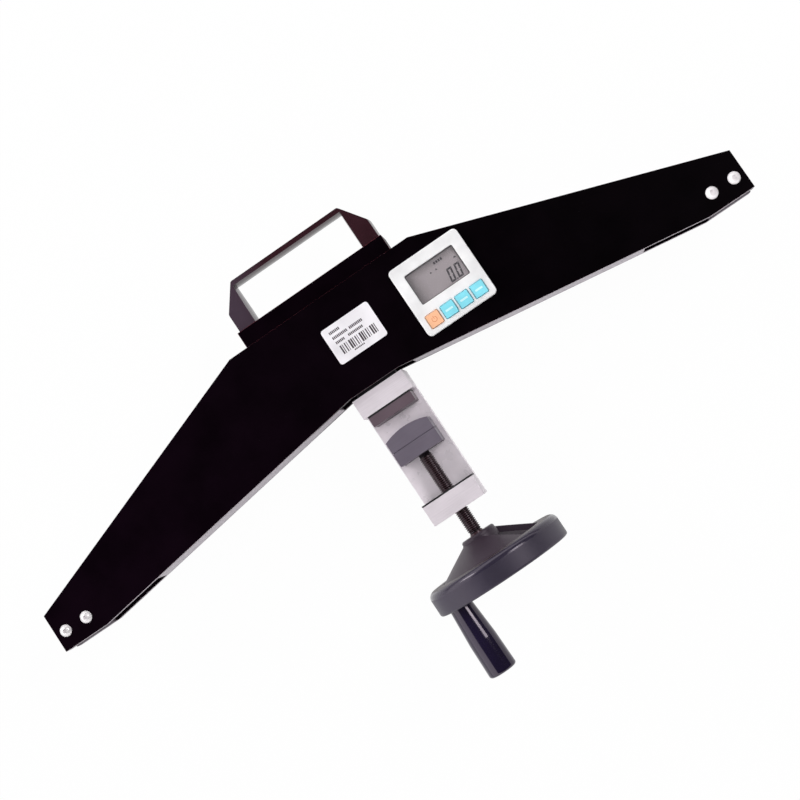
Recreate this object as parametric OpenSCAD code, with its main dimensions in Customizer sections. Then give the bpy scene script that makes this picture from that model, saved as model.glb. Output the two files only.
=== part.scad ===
// Wire rope tension meter, lying on its back.
// X runs along the rope, Y toward the carry handle, Z out of the front plate.
// The origin is the middle of the fixed anvil's rope face, halfway through the body.

/* [Body] */
// Length of the body from end to end, along the rope
body_length = 684; // [640:1:740]
// Height of each squared arm end
end_height = 35.5; // [32:0.5:42]
// How far the rope face of the end blocks lies below the anvil's rope face
rope_drop = 11.5; // [8:0.5:15]
// Length of the flat under each arm end
end_flat = 42.5; // [38:0.5:50]
// Width of the top edge between the shoulders
shoulder_width = 179; // [170:1:195]
// Height of the top edge above the anvil's rope face
shoulder_height = 114; // [110:0.5:125]
// Width of the flat throat over the clamp
throat_width = 47.5; // [44:0.5:54]
// Gap between the throat and the clamp's upper block
throat_gap = 2.5; // [1.5:0.1:4]
// Thickness of the front plate and of the rear plate
plate_t = 6; // [5:0.5:8]
// Gap between the two plates
body_gap = 28; // [26:0.5:30]

/* [Bars and rope blocks] */
// Thickness of the bar under each arm
lower_bar_t = 8; // [7:0.5:10]
// Thickness of the bar along the top of each arm
upper_bar_t = 7; // [6.5:0.5:9]
// Open length between the lower bar and the end flat
bar_end_gap = 56; // [40:1:75]
// Open length between the lower bar and the throat
bar_throat_gap = 13; // [8:1:20]
// Distance of a bar's screws from its ends
bar_screw_inset = 14; // [10:1:24]
// Length of the rope block in each arm end
rope_block_length = 40; // [36:0.5:46]
// Radius of the rope groove under a rope block
rope_groove_r = 9; // [8:0.1:9.2]
// Depth of the rope groove
rope_groove_depth = 4; // [3.8:0.1:5]

/* [Body screws] */
// Thread diameter of the end screws
end_screw_d = 6; // [5:0.5:8]
// Head diameter of the end screws
end_head_d = 10.5; // [9.5:0.5:12]
// Head height of the end screws
end_head_h = 3.3; // [2.5:0.1:4]
// Distance of the outer end screw from the arm's end
end_screw_edge = 9.5; // [8:0.5:12]
// Distance between the two end screws of an arm
end_screw_pitch = 21; // [18:0.5:23]
// Height of the end screws above the end's lower edge
end_screw_rise = 15; // [13.5:0.5:17]
// Depth of an end screw in its rope block
end_screw_grip = 8; // [6:0.5:9]
// Thread diameter of the tie screws that join the plates
tie_screw_d = 4; // [3:0.5:4.5]
// Depth of a tie screw in the front plate
tie_screw_grip = 4; // [3:0.5:4.5]

/* [Carry handle] */
// Width of the base bar above the plates
base_width = 145; // [140:1:160]
// Height of the base bar above the plates
base_rise = 15; // [12:0.5:18]
// Depth of the base bar above the plates
base_depth = 32; // [31:0.5:38]
// Depth of the base bar's foot between the plates
base_foot = 12; // [11:0.5:13]
// Width of the handle at its shoulders
handle_width = 143; // [140:1:156]
// Height of the handle above its base bar
handle_height = 41; // [38:0.2:50]
// Height of the handle's straight sides
handle_side = 16; // [13:0.5:20]
// Width of the handle's top
handle_top_width = 106; // [104:1:114]
// Corner radius of the handle's outline
handle_round = 4; // [2:0.5:6]
// Depth of the handle's legs
leg_depth = 26; // [24:0.5:30]
// Depth of the handle's top bar
bar_depth = 22; // [18:0.5:24]
// Width of the hand opening
hand_width = 107; // [98:1:108]
// Thickness of the handle's top bar
grip_bar_t = 4.8; // [4:0.1:8]
// Thread diameter of the handle bolts
handle_bolt_d = 6; // [5:0.5:7]
// Depth of a handle bolt in the handle
handle_bolt_grip = 9; // [7:0.5:11]

/* [Display] */
// Width of the display bezel
bezel_w = 67; // [65:0.5:72]
// Height of the display bezel
bezel_h = 64; // [62.5:0.5:66]
// Corner radius of the bezel
bezel_r = 4; // [2.5:0.5:5]
// How far the bezel stands out of the front plate
bezel_rise = 4; // [3.5:0.1:5]
// Thickness of the bezel's face
bezel_wall = 2.5; // [2:0.1:3]
// Overlap of the bezel on the front plate, all round
bezel_lip = 1.5; // [1.2:0.1:2]
// Thickness of the skirt behind the bezel
skirt_wall = 1.2; // [1:0.1:1.6]
// Place of the bezel's middle along the rope
bezel_x = 92.7; // [88:0.1:97]
// Place of the bezel's middle, up from the top edge
bezel_y = -47.6; // [-49:0.1:-46.5]
// Width of the window opening
window_w = 47; // [44:0.1:49]
// Height of the window opening
window_h = 28.4; // [26:0.1:29.5]
// Distance of the window opening from the bezel's top edge
window_top = 10.2; // [10:0.1:11.2]
// Thickness of the window pane
window_t = 1.5; // [1:0.1:2]
// Overlap of the window pane behind its opening
window_lap = 1.6; // [1:0.1:2]
// Thickness of the display panel
lcd_t = 2.1; // [1.6:0.1:2.5]
// Thickness of the backlight
backlight_t = 1.8; // [1.5:0.1:2.2]
// Thickness of the circuit board
board_t = 1.6; // [1.2:0.1:2]
// Diameter of the posts that hold the circuit board
post_d = 4; // [3.4:0.1:4.2]
// Thread diameter of the board screws
board_screw_d = 2; // [1.6:0.1:2.2]
// Side of a square key
key_size = 11.4; // [10:0.1:11.6]
// Distance between key middles
key_pitch = 14.5; // [14:0.1:15.2]
// Distance of the keys' rims from the wall under them
key_row_gap = 1.2; // [0.4:0.1:1.6]
// How far a key stands out of the bezel
key_rise = 1.2; // [0.8:0.1:1.6]
// Clearance round a key in the bezel
key_clear = 0.2; // [0.15:0.05:0.3]
// Rim round a key behind the bezel
key_rim = 0.4; // [0.3:0.1:0.6]
// Thickness of that rim
key_rim_t = 1.2; // [1:0.1:1.4]
// Corner radius of a key
key_corner = 0.8; // [0.4:0.1:1.5]
// Travel of a key
key_travel = 0.5; // [0.3:0.1:0.6]
// Side of a key switch
switch_size = 6; // [5:0.5:7]
// Width of the label
label_w = 46.6; // [40:0.1:50]
// Height of the label
label_h = 33; // [28:0.2:36]
// Corner radius of the label
label_r = 2.5; // [1:0.5:4]
// Thickness of the label
label_t = 0.4; // [0.3:0.1:0.6]
// Place of the label's middle along the rope
label_x = 9.2; // [4:0.1:12]
// Place of the label's middle, up from the top edge
label_y = -40.6; // [-45:0.1:-34]

/* [Battery] */
// Length of the battery
battery_l = 48.5; // [46:0.5:50]
// Width of the battery
battery_w = 26.5; // [25:0.5:28]
// Thickness of the battery
battery_t = 17.5; // [16:0.5:18]
// Wall of the battery tray
tray_wall = 1.5; // [1.2:0.1:2]
// Height of the battery tray
tray_h = 9; // [6:0.5:12]
// Thickness of the battery door
door_t = 2.5; // [2:0.1:3]
// Overlap of the door on its ledge
door_lip = 6; // [5:0.5:7]
// Thread diameter of the door screws
door_screw_d = 3; // [2.5:0.5:3.5]

/* [Load cell] */
// Width of the load cell
cell_w = 38; // [36:0.5:44]
// Height of the load cell
cell_h = 58; // [54:0.5:60]
// Thickness of the load cell
cell_t = 18; // [16:0.5:18.5]
// Diameter of the two flexure holes
cell_hole_d = 12; // [9:0.5:14]
// Width of the slots in the load cell
cell_slot = 2; // [1.5:0.1:3]
// Width of the bridge over the load cell
bridge_w = 84; // [80:1:92]
// Thread diameter of the load cell bolts
cell_bolt_d = 8; // [6:0.5:9]
// Distance between the two bolts at each end of the load cell
cell_bolt_pitch = 16; // [15:0.5:17]
// Depth of a bolt in the load cell
cell_bolt_grip = 12; // [9:0.5:14]
// Diameter of the signal cable
cable_d = 4; // [3:0.5:5]

/* [Clamp] */
// Width of the clamp blocks and back plate
clamp_w = 49; // [46:0.5:54]
// Depth of the clamp blocks
clamp_depth = 28; // [24:0.5:32]
// Height of the upper block
upper_block_h = 17.4; // [16:0.2:22]
// Height of the lower block
lower_block_h = 18.2; // [16:0.2:22]
// Distance from the anvil's rope face down to the lower block
throat_depth = 77.5; // [74:0.5:86]
// Thickness of the back plate
back_plate_t = 12; // [10:0.5:18]
// Thread diameter of the clamp screws
clamp_screw_d = 6; // [5:0.5:7]
// Distance between the two clamp screws of a block
clamp_screw_pitch = 30; // [29:0.5:34]
// Depth of a clamp screw in its block
clamp_screw_grip = 5; // [3:0.5:5.5]
// Width of the anvil
anvil_w = 41.4; // [40:0.2:46]
// Thickness of the anvil
anvil_t = 8.6; // [7:0.1:12]
// Thickness of the shim over the anvil
shim_t = 1.5; // [1:0.1:2]
// Thread diameter of the anvil screws
anvil_screw_d = 5; // [4:0.5:5.5]
// Distance between the two anvil screws
anvil_screw_pitch = 36; // [35.5:0.5:37]
// Depth of an anvil screw in the anvil
anvil_screw_grip = 6; // [4:0.5:6.5]
// Thickness of the pad on the lower block
pad_t = 1.4; // [1:0.1:2]

/* [Jaw] */
// Width of the moving jaw
jaw_w = 41; // [40:0.2:46]
// Gap between the anvil and the shoe's crown, as drawn
jaw_gap = 12.7; // [6:0.1:20]
// Height of the shoe's crown above its corners
shoe_crown = 4; // [2:0.1:6]
// Height of the shoe at its crown
shoe_h = 14.8; // [12:0.1:18]
// Height of the jaw base
jaw_base_h = 12.2; // [11.5:0.1:16]
// Height of the dark groove between shoe and base
jaw_groove = 0.6; // [0.4:0.1:1]
// Thread diameter of the jaw screws
jaw_screw_d = 5; // [4:0.5:6]
// Distance between the two jaw screws
jaw_screw_pitch = 23; // [22.5:0.5:25]
// Depth of a jaw screw in the shoe
jaw_screw_grip = 6; // [4:0.5:7]
// Diameter of the cross screw in the shoe's side
cross_screw_d = 4; // [3:0.5:5]
// Length of the cross screw
cross_screw_l = 4; // [3:0.5:4.5]

/* [Spindle] */
// Outside diameter of the spindle's thread
spindle_d = 12; // [11:0.5:14]
// Lead of the thread
thread_lead = 1.75; // [1.5:0.05:2.5]
// Depth of the thread
thread_depth = 1; // [0.6:0.1:1.2]
// Diameter of the spindle's journal in the jaw base
journal_d = 10; // [9:0.5:10.5]
// Length of the journal in the jaw base
journal_l = 9; // [8.5:0.1:10]
// Diameter of the pins that hold the journal
journal_pin_d = 3; // [2.5:0.5:3]
// Diameter of the plain shoulder against the wheel's hub
shoulder_ring_d = 12; // [11.5:0.5:14]
// Length of that shoulder
shoulder_ring_l = 1.5; // [1:0.5:4]
// Diameter of the spindle's nose in the wheel
nose_d = 10; // [9:0.5:11]
// Outside diameter of the spindle nut
nut_d = 18; // [17:0.5:19]
// Diameter of the nut's flange
nut_flange_d = 21; // [20.5:0.5:21.5]
// Thickness of the nut's flange
nut_flange_t = 3; // [2:0.5:4]

/* [Handwheel] */
// Distance from the anvil's rope face to the top of the hub
hub_drop = 119.4; // [116:0.2:128]
// Outside diameter of the handwheel
wheel_d = 125; // [118:1:132]
// Height of the rim
rim_h = 21.4; // [18:0.2:24]
// Width of the rim
rim_w = 16; // [14:0.5:18]
// Radius of the rim's outer top edge
rim_round = 6; // [4:0.5:8]
// Radius of the rim's outer bottom edge
rim_edge = 2; // [1:0.5:3]
// Height from the rim's bottom to the top of the hub
wheel_h = 41.3; // [38:0.2:46]
// Diameter of the hub
hub_d = 31; // [29:0.5:34]
// Height of the hub's boss above the spokes
boss_h = 3; // [2:0.5:5]
// Thickness of the spokes
spoke_t = 6; // [5:0.5:7]
// Step from the rim's crest down to the spokes
rim_lip = 0.6; // [0.4:0.1:2]
// Length of the wheel's bore
wheel_bore_l = 26; // [24:0.5:30]
// Step left at the roots of the spoke openings
spoke_root = 0.6; // [0.4:0.1:1]
// Slant of the spoke edges to each other
spoke_flare = 26.6; // [18:0.2:34]
// Distance of a spoke's straight edge from the wheel's axis
spoke_edge = 6; // [4:0.5:9]
// Chamfer round the hub's top
hub_chamfer = 1.2; // [0.5:0.1:2]
// Side of the wheel key
wheel_key_side = 3; // [2.5:0.5:3.5]
// Length of the wheel key
wheel_key_l = 16; // [12:0.5:18]
// Thread diameter of the wheel screw
wheel_screw_d = 5; // [4:0.5:5.5]
// Depth of the wheel screw in the spindle
wheel_screw_grip = 10; // [8:0.5:12]
// Diameter of the wheel washer
washer_d = 18; // [16:0.5:20]
// Thickness of the wheel washer
washer_t = 1.6; // [1.2:0.1:2.4]

/* [Grip] */
// Distance of the grip from the wheel's axis
grip_radius = 48.3; // [47:0.1:50]
// Turn of the grip round the wheel, from the right-hand side
grip_turn = 149; // [130:1:160]
// Diameter of the grip at its root
grip_root_d = 20; // [18:0.5:22]
// Diameter of the grip at its waist
grip_waist_d = 24; // [22:0.5:26]
// Diameter of the grip at its end
grip_end_d = 25; // [23:0.5:28]
// Length of the grip
grip_l = 62; // [56:1:72]
// Edge radius of the grip's end
grip_edge = 2.5; // [1.5:0.5:3.5]
// Diameter of the bolt that the grip turns on
grip_bolt_d = 8; // [7:0.5:9]
// Head diameter of that bolt
grip_head_d = 13; // [12:0.5:14]
// Head height of that bolt
grip_head_h = 5; // [4:0.5:6]
// Wall of the wheel's boss past the grip's root
grip_boss_wall = 1; // [0.5:0.1:2]
// Depth of that bolt in the wheel
grip_bolt_grip = 12; // [9:0.5:14]

/* [Clearances] */
// Radial clearance round a fixed screw
screw_clear = 0.15; // [0.1:0.05:0.3]
// Clearance round a piece that sits in a cutout
seat_clear = 0.3; // [0.2:0.05:0.4]
// Clearance between faces that slide on each other
slide_clear = 0.3; // [0.2:0.05:0.5]
// Radial clearance of a shaft in its bore
run_clear = 0.05; // [0.02:0.01:0.08]
// Gap left at the end of a bolt's or pin's hole
end_clear = 1; // [0.5:0.1:1.5]

/* [Hidden] */
$fn = 64;

// Extra length of a cut past the face that it opens
cut = 1;

// Head sizes of the socket and countersunk screws and their hexagon sockets, per thread diameter
cap_head_ratio = 1.5;
sunk_head_ratio = 1.9;
cap_socket_ratio = 1;
button_socket_ratio = 0.66;
small_socket_ratio = 0.55;

// Depth of a socket, as a share of its head
socket_share = 0.5;

// Height of the bridge under its bolt heads, as a share of the bridge
bridge_seat_share = 0.4;

// Height of a key switch's square body, as a share of the switch
switch_body_share = 0.75;

// Depth of the cross screw under the shoe's corner, per screw diameter
cross_drop_ratio = 0.7;

// Bend radius of the signal cable, per cable diameter
cable_bend_ratio = 1.5;

// Levels through the body
gap_half = body_gap / 2;
front_z = gap_half + plate_t;
rear_z = -front_z;

// Outline of the plates
half_length = body_length / 2;
end_bottom = -rope_drop;
end_top = end_bottom + end_height;
kink_x = half_length - end_flat;
throat_x = throat_width / 2;
shoulder_x = shoulder_width / 2;

// Levels of the clamp's upper half, up from the anvil's rope face
shim_y = anvil_t;
upper_block_y = shim_y + shim_t;
upper_block_top = upper_block_y + upper_block_h;
throat_y = upper_block_top + throat_gap;
cell_top = upper_block_top + cell_h;
base_foot_y = shoulder_height - base_foot;
base_top = shoulder_height + base_rise;
bezel_mid_y = shoulder_height + bezel_y;
label_mid_y = shoulder_height + label_y;

lower_angle = atan2(throat_y - end_bottom, kink_x - throat_x);
upper_angle = atan2(shoulder_height - end_top, half_length - shoulder_x);

// Levels of the clamp's lower half, down from the anvil's rope face
lower_block_top = -throat_depth;
lower_block_y = lower_block_top - lower_block_h;
shoe_y = -jaw_gap - shoe_h;
cross_y = -jaw_gap - shoe_crown - cross_screw_d * cross_drop_ratio;
jaw_base_y = shoe_y - jaw_base_h;
hub_y = -hub_drop;
rim_y = hub_y - wheel_h;

// Depth levels of the clamp
clamp_z = clamp_depth / 2;
back_plate_z = -clamp_z - back_plate_t;
jaw_depth = clamp_depth - slide_clear;

// Depth levels of the display, from the bezel's face inward
bezel_z = front_z + bezel_rise;
pane_z = bezel_z - bezel_wall;
lcd_z = pane_z - window_t;
backlight_z = lcd_z - lcd_t;
board_z = backlight_z - backlight_t;
cutout_w = bezel_w - 2 * bezel_lip;
cutout_h = bezel_h - 2 * bezel_lip;
skirt_w = cutout_w - 2 * seat_clear;
skirt_h = cutout_h - 2 * seat_clear;
well_w = skirt_w - 2 * skirt_wall;
well_h = skirt_h - 2 * skirt_wall;
board_w = well_w - 2 * seat_clear;
board_h = well_h - 2 * seat_clear;
window_y = bezel_h / 2 - window_top - window_h / 2;
pane_w = window_w + 2 * window_lap;
pane_h = window_h + 2 * window_lap;
lcd_w = window_w + window_lap;
lcd_h = window_h + window_lap;
key_count = 4;
key_hole = key_size + 2 * key_clear;
key_rim_size = key_hole + 2 * key_rim;
key_y = -well_h / 2 + key_row_gap + key_rim_size / 2;
key_rim_top = pane_z - key_clear;
key_bottom = key_rim_top - key_rim_t;
switch_top = key_bottom - key_travel - key_clear;
post_x = well_w / 2 - post_d;
post_top_y = window_y + pane_h / 2 + post_d / 2 + seat_clear;
post_low_y = (window_y - pane_h / 2 + key_y + key_rim_size / 2) / 2;

// Battery bay in the rear plate
battery_z = rear_z + door_t + seat_clear;
bay_l = battery_l + 2 * seat_clear;
bay_w = battery_w + 2 * seat_clear;
door_l = bay_l + 2 * door_lip;
door_w = bay_w;
tray_l = bay_l + 2 * tray_wall;
tray_w = bay_w + 2 * tray_wall;
cable_x = bezel_x - board_w / 2 + cable_d;
battery_x = cable_x + cable_d / 2 + seat_clear + tray_l / 2;
battery_y = bezel_mid_y;

// Spindle levels
journal_y = jaw_base_y + journal_l;
shoulder_ring_y = hub_y + shoulder_ring_l;
nose_y = hub_y - wheel_bore_l + washer_t;
thread_top = jaw_base_y - slide_clear - thread_lead;
thread_turns = floor((thread_top - shoulder_ring_y) / thread_lead);
root_r = spindle_d / 2 - thread_depth;
neck_r = journal_d / 2 - journal_pin_d / 2;
neck_y = jaw_base_y + journal_l / 2;
journal_pin_x = neck_r + run_clear + journal_pin_d / 2;

// Handwheel sizes
wheel_r = wheel_d / 2;
rim_inner_r = wheel_r - rim_w;
hub_r = hub_d / 2;
spoke_top = wheel_h - boss_h;
spoke_end_top = rim_h - rim_lip;
grip_y = rim_y - slide_clear;
grip_end_y = grip_y - grip_l;
grip_x = grip_radius * cos(grip_turn);
grip_z = grip_radius * sin(grip_turn);
grip_bolt_y = grip_end_y + grip_head_h + end_clear;

// Place of a key along the bezel, counted from the left
function key_x(i) = (i - (key_count - 1) / 2) * key_pitch;

// Points on the lower and upper edges of the right arm
function lower_y(x) = end_bottom + (kink_x - x) * tan(lower_angle);
function upper_y(x) = end_top + (half_length - x) * tan(upper_angle);

// Unit vectors along and into the arm from its two edges
lower_along = [-cos(lower_angle), sin(lower_angle)];
lower_in = [sin(lower_angle), cos(lower_angle)];
upper_along = [cos(upper_angle), -sin(upper_angle)];
upper_in = [-sin(upper_angle), -cos(upper_angle)];

// Ends of the bars, as points on the outline
lower_outer = [kink_x - bar_end_gap, lower_y(kink_x - bar_end_gap)];
lower_inner = [throat_x + bar_throat_gap, lower_y(throat_x + bar_throat_gap)];
upper_inner = [shoulder_x, shoulder_height];
upper_outer_x = half_length - rope_block_length;
upper_outer = [upper_outer_x, upper_y(upper_outer_x)];
base_foot_x = shoulder_x - upper_bar_t * sin(upper_angle) - seat_clear;

// Middles of the screws, for the right-hand side
end_screw_y = end_bottom + end_screw_rise;
end_screw_x = half_length - end_screw_edge;
end_points = [[end_screw_x, end_screw_y], [end_screw_x - end_screw_pitch, end_screw_y]];
lower_points = [
    lower_outer + lower_along * bar_screw_inset + lower_in * lower_bar_t / 2,
    lower_inner - lower_along * bar_screw_inset + lower_in * lower_bar_t / 2
];
upper_points = [
    upper_inner + upper_along * bar_screw_inset + upper_in * upper_bar_t / 2,
    upper_outer - upper_along * bar_screw_inset + upper_in * upper_bar_t / 2
];
handle_bolt_x = (hand_width + handle_width) / 4;
base_point = [handle_bolt_x - 2 * handle_bolt_d, base_foot_y + base_foot / 2];
bridge_h = base_foot_y - cell_top;
bridge_seat_y = cell_top + bridge_h * bridge_seat_share;
bridge_y = cell_top + bridge_h / 2;
bridge_point = [bridge_w / 2 - tie_screw_d * 2, bridge_y];
tie_points = concat(lower_points, upper_points, [base_point, bridge_point]);

// Turns a shape drawn upward along Z so that it points toward the handle
module along_y() {
    rotate([-90, 0, 0]) children();
}

// Draws the children on the right and, mirrored, on the left
module both_sides() {
    for (side = [0, 1]) mirror([side, 0, 0]) children();
}

module rounded_rect(w, h, r) {
    square([w - 2 * r, h], center = true);
    square([w, h - 2 * r], center = true);
    for (x = [-1, 1], y = [-1, 1])
        translate([x * (w / 2 - r), y * (h / 2 - r)]) circle(r);
}

// Flat bar along an edge from one point to another, as thick as t
module edge_bar(from, to, inward, t) {
    linear_extrude(body_gap, center = true)
        polygon([from, to, to + inward * t, from + inward * t]);
}

// Screws: the thread runs down from z = 0 and the head stands on it
module socket_screw(d, length) {
    head_r = d * cap_head_ratio / 2;
    difference() {
        union() {
            translate([0, 0, -length]) cylinder(h = length, d = d);
            cylinder(h = d, r = head_r);
        }
        translate([0, 0, d * (1 - socket_share)]) cylinder(h = d, d = d * cap_socket_ratio, $fn = 6);
    }
}

module button_screw(d, head_d, head_h, length) {
    dome_r = (head_h * head_h + head_d * head_d / 4) / (2 * head_h);
    difference() {
        union() {
            translate([0, 0, -length]) cylinder(h = length, d = d);
            rotate_extrude()
                intersection() {
                    square([head_d / 2, head_h]);
                    translate([0, head_h - dome_r]) circle(dome_r);
                }
        }
        translate([0, 0, head_h * (1 - socket_share)])
            cylinder(h = head_h, d = d * button_socket_ratio, $fn = 6);
    }
}

// Countersunk screw with its head's face at z = 0
module sunk_screw(d, length) {
    head_d = d * sunk_head_ratio;
    head_h = (head_d - d) / 2;
    difference() {
        union() {
            translate([0, 0, -length]) cylinder(h = length, d = d);
            translate([0, 0, -head_h]) cylinder(h = head_h, d1 = d, d2 = head_d);
        }
        translate([0, 0, -head_h * socket_share])
            cylinder(h = head_h, d = d * small_socket_ratio, $fn = 6);
    }
}

// Hole for a countersunk screw, opening at z = 0
module sunk_hole(d, length) {
    hole_d = d + 2 * screw_clear;
    head_d = d * sunk_head_ratio + 2 * screw_clear;
    head_h = (head_d - hole_d) / 2;
    translate([0, 0, -length]) cylinder(h = length + cut, d = hole_d);
    translate([0, 0, -head_h]) cylinder(h = head_h, d1 = hole_d, d2 = head_d);
    cylinder(h = cut, d = head_d);
}

// Hole for a socket screw, with a counterbore that opens at z = 0
module socket_hole(d, head_depth, length) {
    translate([0, 0, -length]) cylinder(h = length + cut, d = d + 2 * screw_clear);
    translate([0, 0, -head_depth])
        cylinder(h = head_depth + cut, d = d * cap_head_ratio + 2 * screw_clear);
}

module plate_shape() {
    right = [
        [throat_x, throat_y], [kink_x, end_bottom], [half_length, end_bottom],
        [half_length, end_top], [shoulder_x, shoulder_height]
    ];
    left = [for (i = [len(right) - 1:-1:0]) [-right[i].x, right[i].y]];
    polygon(concat(right, left));
}

module front_plate() {
    color("#15121a")
        difference() {
            translate([0, 0, gap_half]) linear_extrude(plate_t) plate_shape();
            translate([bezel_x, bezel_mid_y, gap_half - cut])
                linear_extrude(plate_t + 2 * cut) square([cutout_w, cutout_h], center = true);
            both_sides() {
                for (p = end_points)
                    translate([p.x, p.y, gap_half - cut])
                        cylinder(h = plate_t + 2 * cut, d = end_screw_d + 2 * screw_clear);
                for (p = tie_points)
                    translate([p.x, p.y, gap_half - cut])
                        cylinder(h = tie_screw_grip + cut + screw_clear, d = tie_screw_d + 2 * screw_clear);
            }
        }
}

module rear_plate() {
    color("#15121a")
        difference() {
            translate([0, 0, rear_z]) linear_extrude(plate_t) plate_shape();
            translate([0, 0, rear_z]) mirror([0, 0, 1])
                both_sides() {
                    for (p = end_points) translate(p) sunk_hole(end_screw_d, plate_t + cut);
                    for (p = tie_points) translate(p) sunk_hole(tie_screw_d, plate_t + cut);
                }
            translate([battery_x, battery_y, rear_z - cut]) {
                linear_extrude(plate_t + 2 * cut) square([bay_l, bay_w], center = true);
                linear_extrude(door_t + cut)
                    square([door_l + 2 * seat_clear, door_w + 2 * seat_clear], center = true);
            }
            door_screw_places(rear_z)
                sunk_hole(door_screw_d, plate_t + cut);
        }
}

module lower_bar() {
    difference() {
        edge_bar(lower_outer, lower_inner, lower_in, lower_bar_t);
        for (p = lower_points) translate(p)
            cylinder(h = body_gap + 2 * cut, d = tie_screw_d + 2 * screw_clear, center = true);
    }
}

module left_lower_bar() {
    color("#bdb3bd") mirror([1, 0, 0]) lower_bar();
}

module right_lower_bar() {
    color("#bdb3bd") lower_bar();
}

module upper_bar() {
    difference() {
        edge_bar(upper_inner, upper_outer, upper_in, upper_bar_t);
        for (p = upper_points) translate(p)
            cylinder(h = body_gap + 2 * cut, d = tie_screw_d + 2 * screw_clear, center = true);
    }
}

module left_upper_bar() {
    color("#bdb3bd") mirror([1, 0, 0]) upper_bar();
}

module right_upper_bar() {
    color("#bdb3bd") upper_bar();
}

// Block in an arm's end, grooved underneath for the rope
module rope_block() {
    difference() {
        translate([half_length - rope_block_length, end_bottom, -gap_half])
            cube([rope_block_length, end_height, body_gap]);
        translate([half_length + cut, end_bottom - rope_groove_r + rope_groove_depth, 0])
            rotate([0, -90, 0]) cylinder(h = rope_block_length + 2 * cut, r = rope_groove_r);
        for (p = end_points) translate(p)
            cylinder(h = body_gap + 2 * cut, d = end_screw_d + 2 * screw_clear, center = true);
    }
}

module left_rope_block() {
    color("#5b5660") mirror([1, 0, 0]) rope_block();
}

module right_rope_block() {
    color("#5b5660") rope_block();
}

module end_screws() {
    color("#d8d2cc") both_sides()
        for (p = end_points) translate([p.x, p.y, front_z])
            button_screw(end_screw_d, end_head_d, end_head_h, plate_t + end_screw_grip);
}

module rear_end_screws() {
    color("#d8d2cc") both_sides()
        for (p = end_points) translate([p.x, p.y, rear_z]) mirror([0, 0, 1])
            sunk_screw(end_screw_d, plate_t + end_screw_grip);
}

module tie_screws() {
    color("#d8d2cc") both_sides()
        for (p = tie_points) translate([p.x, p.y, rear_z]) mirror([0, 0, 1])
            sunk_screw(tie_screw_d, plate_t + body_gap + tie_screw_grip);
}

// Bar with a foot between the plates and a wider plinth over their top edges
module handle_base() {
    color("#0e0b12")
        difference() {
            union() {
                translate([-base_foot_x, base_foot_y, -gap_half])
                    cube([2 * base_foot_x, base_foot, body_gap]);
                translate([-base_width / 2, shoulder_height, -base_depth / 2])
                    cube([base_width, base_rise, base_depth]);
            }
            both_sides() {
                translate(base_point)
                    cylinder(h = body_gap + 2 * cut, d = tie_screw_d + 2 * screw_clear, center = true);
                translate([handle_bolt_x, base_foot_y - cut, 0]) along_y()
                    cylinder(h = base_foot + base_rise + 2 * cut, d = handle_bolt_d + 2 * screw_clear);
                translate([cell_bolt_pitch / 2, bridge_seat_y, 0]) along_y()
                    cylinder(h = cell_bolt_d + end_clear, d = cell_bolt_d * cap_head_ratio + 2 * screw_clear);
            }
        }
}

module carry_handle() {
    shoulder = [handle_width / 2 - handle_round, base_top + handle_side];
    crest = [handle_top_width / 2, base_top + handle_height - handle_round];
    side = [
        [base_top, leg_depth / 2], [base_top + handle_side, leg_depth / 2],
        [base_top + handle_height, bar_depth / 2]
    ];
    hand_top = base_top + handle_height - grip_bar_t;
    color("#3c2c33")
        difference() {
            intersection() {
                linear_extrude(leg_depth + 2 * cut, center = true)
                    hull() {
                        translate([-handle_width / 2, base_top]) square([handle_width, handle_round]);
                        both_sides() for (p = [shoulder, crest]) translate(p) circle(handle_round);
                    }
                rotate([90, 0, 90])
                    linear_extrude(handle_width + 2 * cut, center = true)
                        polygon(concat(side, [for (i = [2:-1:0]) [side[i].x, -side[i].y]]));
            }
            linear_extrude(leg_depth + 4 * cut, center = true)
                polygon([
                    [hand_width / 2, base_top - cut], [hand_width / 2, hand_top],
                    [-hand_width / 2, hand_top], [-hand_width / 2, base_top - cut]
                ]);
            both_sides()
                translate([handle_bolt_x, base_top - cut, 0]) along_y()
                    cylinder(h = handle_bolt_grip + end_clear + cut, d = handle_bolt_d + 2 * screw_clear);
        }
}

module handle_bolts() {
    color("#8d8a90") both_sides()
        translate([handle_bolt_x, base_foot_y, 0]) along_y() mirror([0, 0, 1])
            socket_screw(handle_bolt_d, base_foot + base_rise + handle_bolt_grip);
}

// Moves the children to the bezel's middle, at depth z
module at_display(z) {
    translate([bezel_x, bezel_mid_y, z]) children();
}

module key_places() {
    for (i = [0:key_count - 1]) translate([key_x(i), key_y, 0]) children();
}

module post_places() {
    for (x = [-post_x, post_x], y = [post_low_y, post_top_y]) translate([x, y, 0]) children();
}

module display_bezel() {
    color("#f1eff1") at_display(0)
        difference() {
            union() {
                translate([0, 0, front_z])
                    linear_extrude(bezel_rise) rounded_rect(bezel_w, bezel_h, bezel_r);
                translate([0, 0, gap_half])
                    linear_extrude(plate_t) square([skirt_w, skirt_h], center = true);
            }
            difference() {
                translate([0, 0, gap_half - cut])
                    linear_extrude(pane_z - gap_half + cut) square([well_w, well_h], center = true);
                post_places()
                    translate([0, 0, board_z]) cylinder(h = pane_z - board_z + cut, d = post_d);
            }
            translate([0, window_y, pane_z - cut])
                linear_extrude(bezel_wall + 2 * cut) square([window_w, window_h], center = true);
            key_places()
                translate([0, 0, pane_z - cut])
                    linear_extrude(bezel_wall + 2 * cut) square(key_hole, center = true);
            post_places()
                translate([0, 0, board_z - cut])
                    cylinder(h = pane_z - board_z + cut, d = board_screw_d + 2 * run_clear);
        }
}

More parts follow.
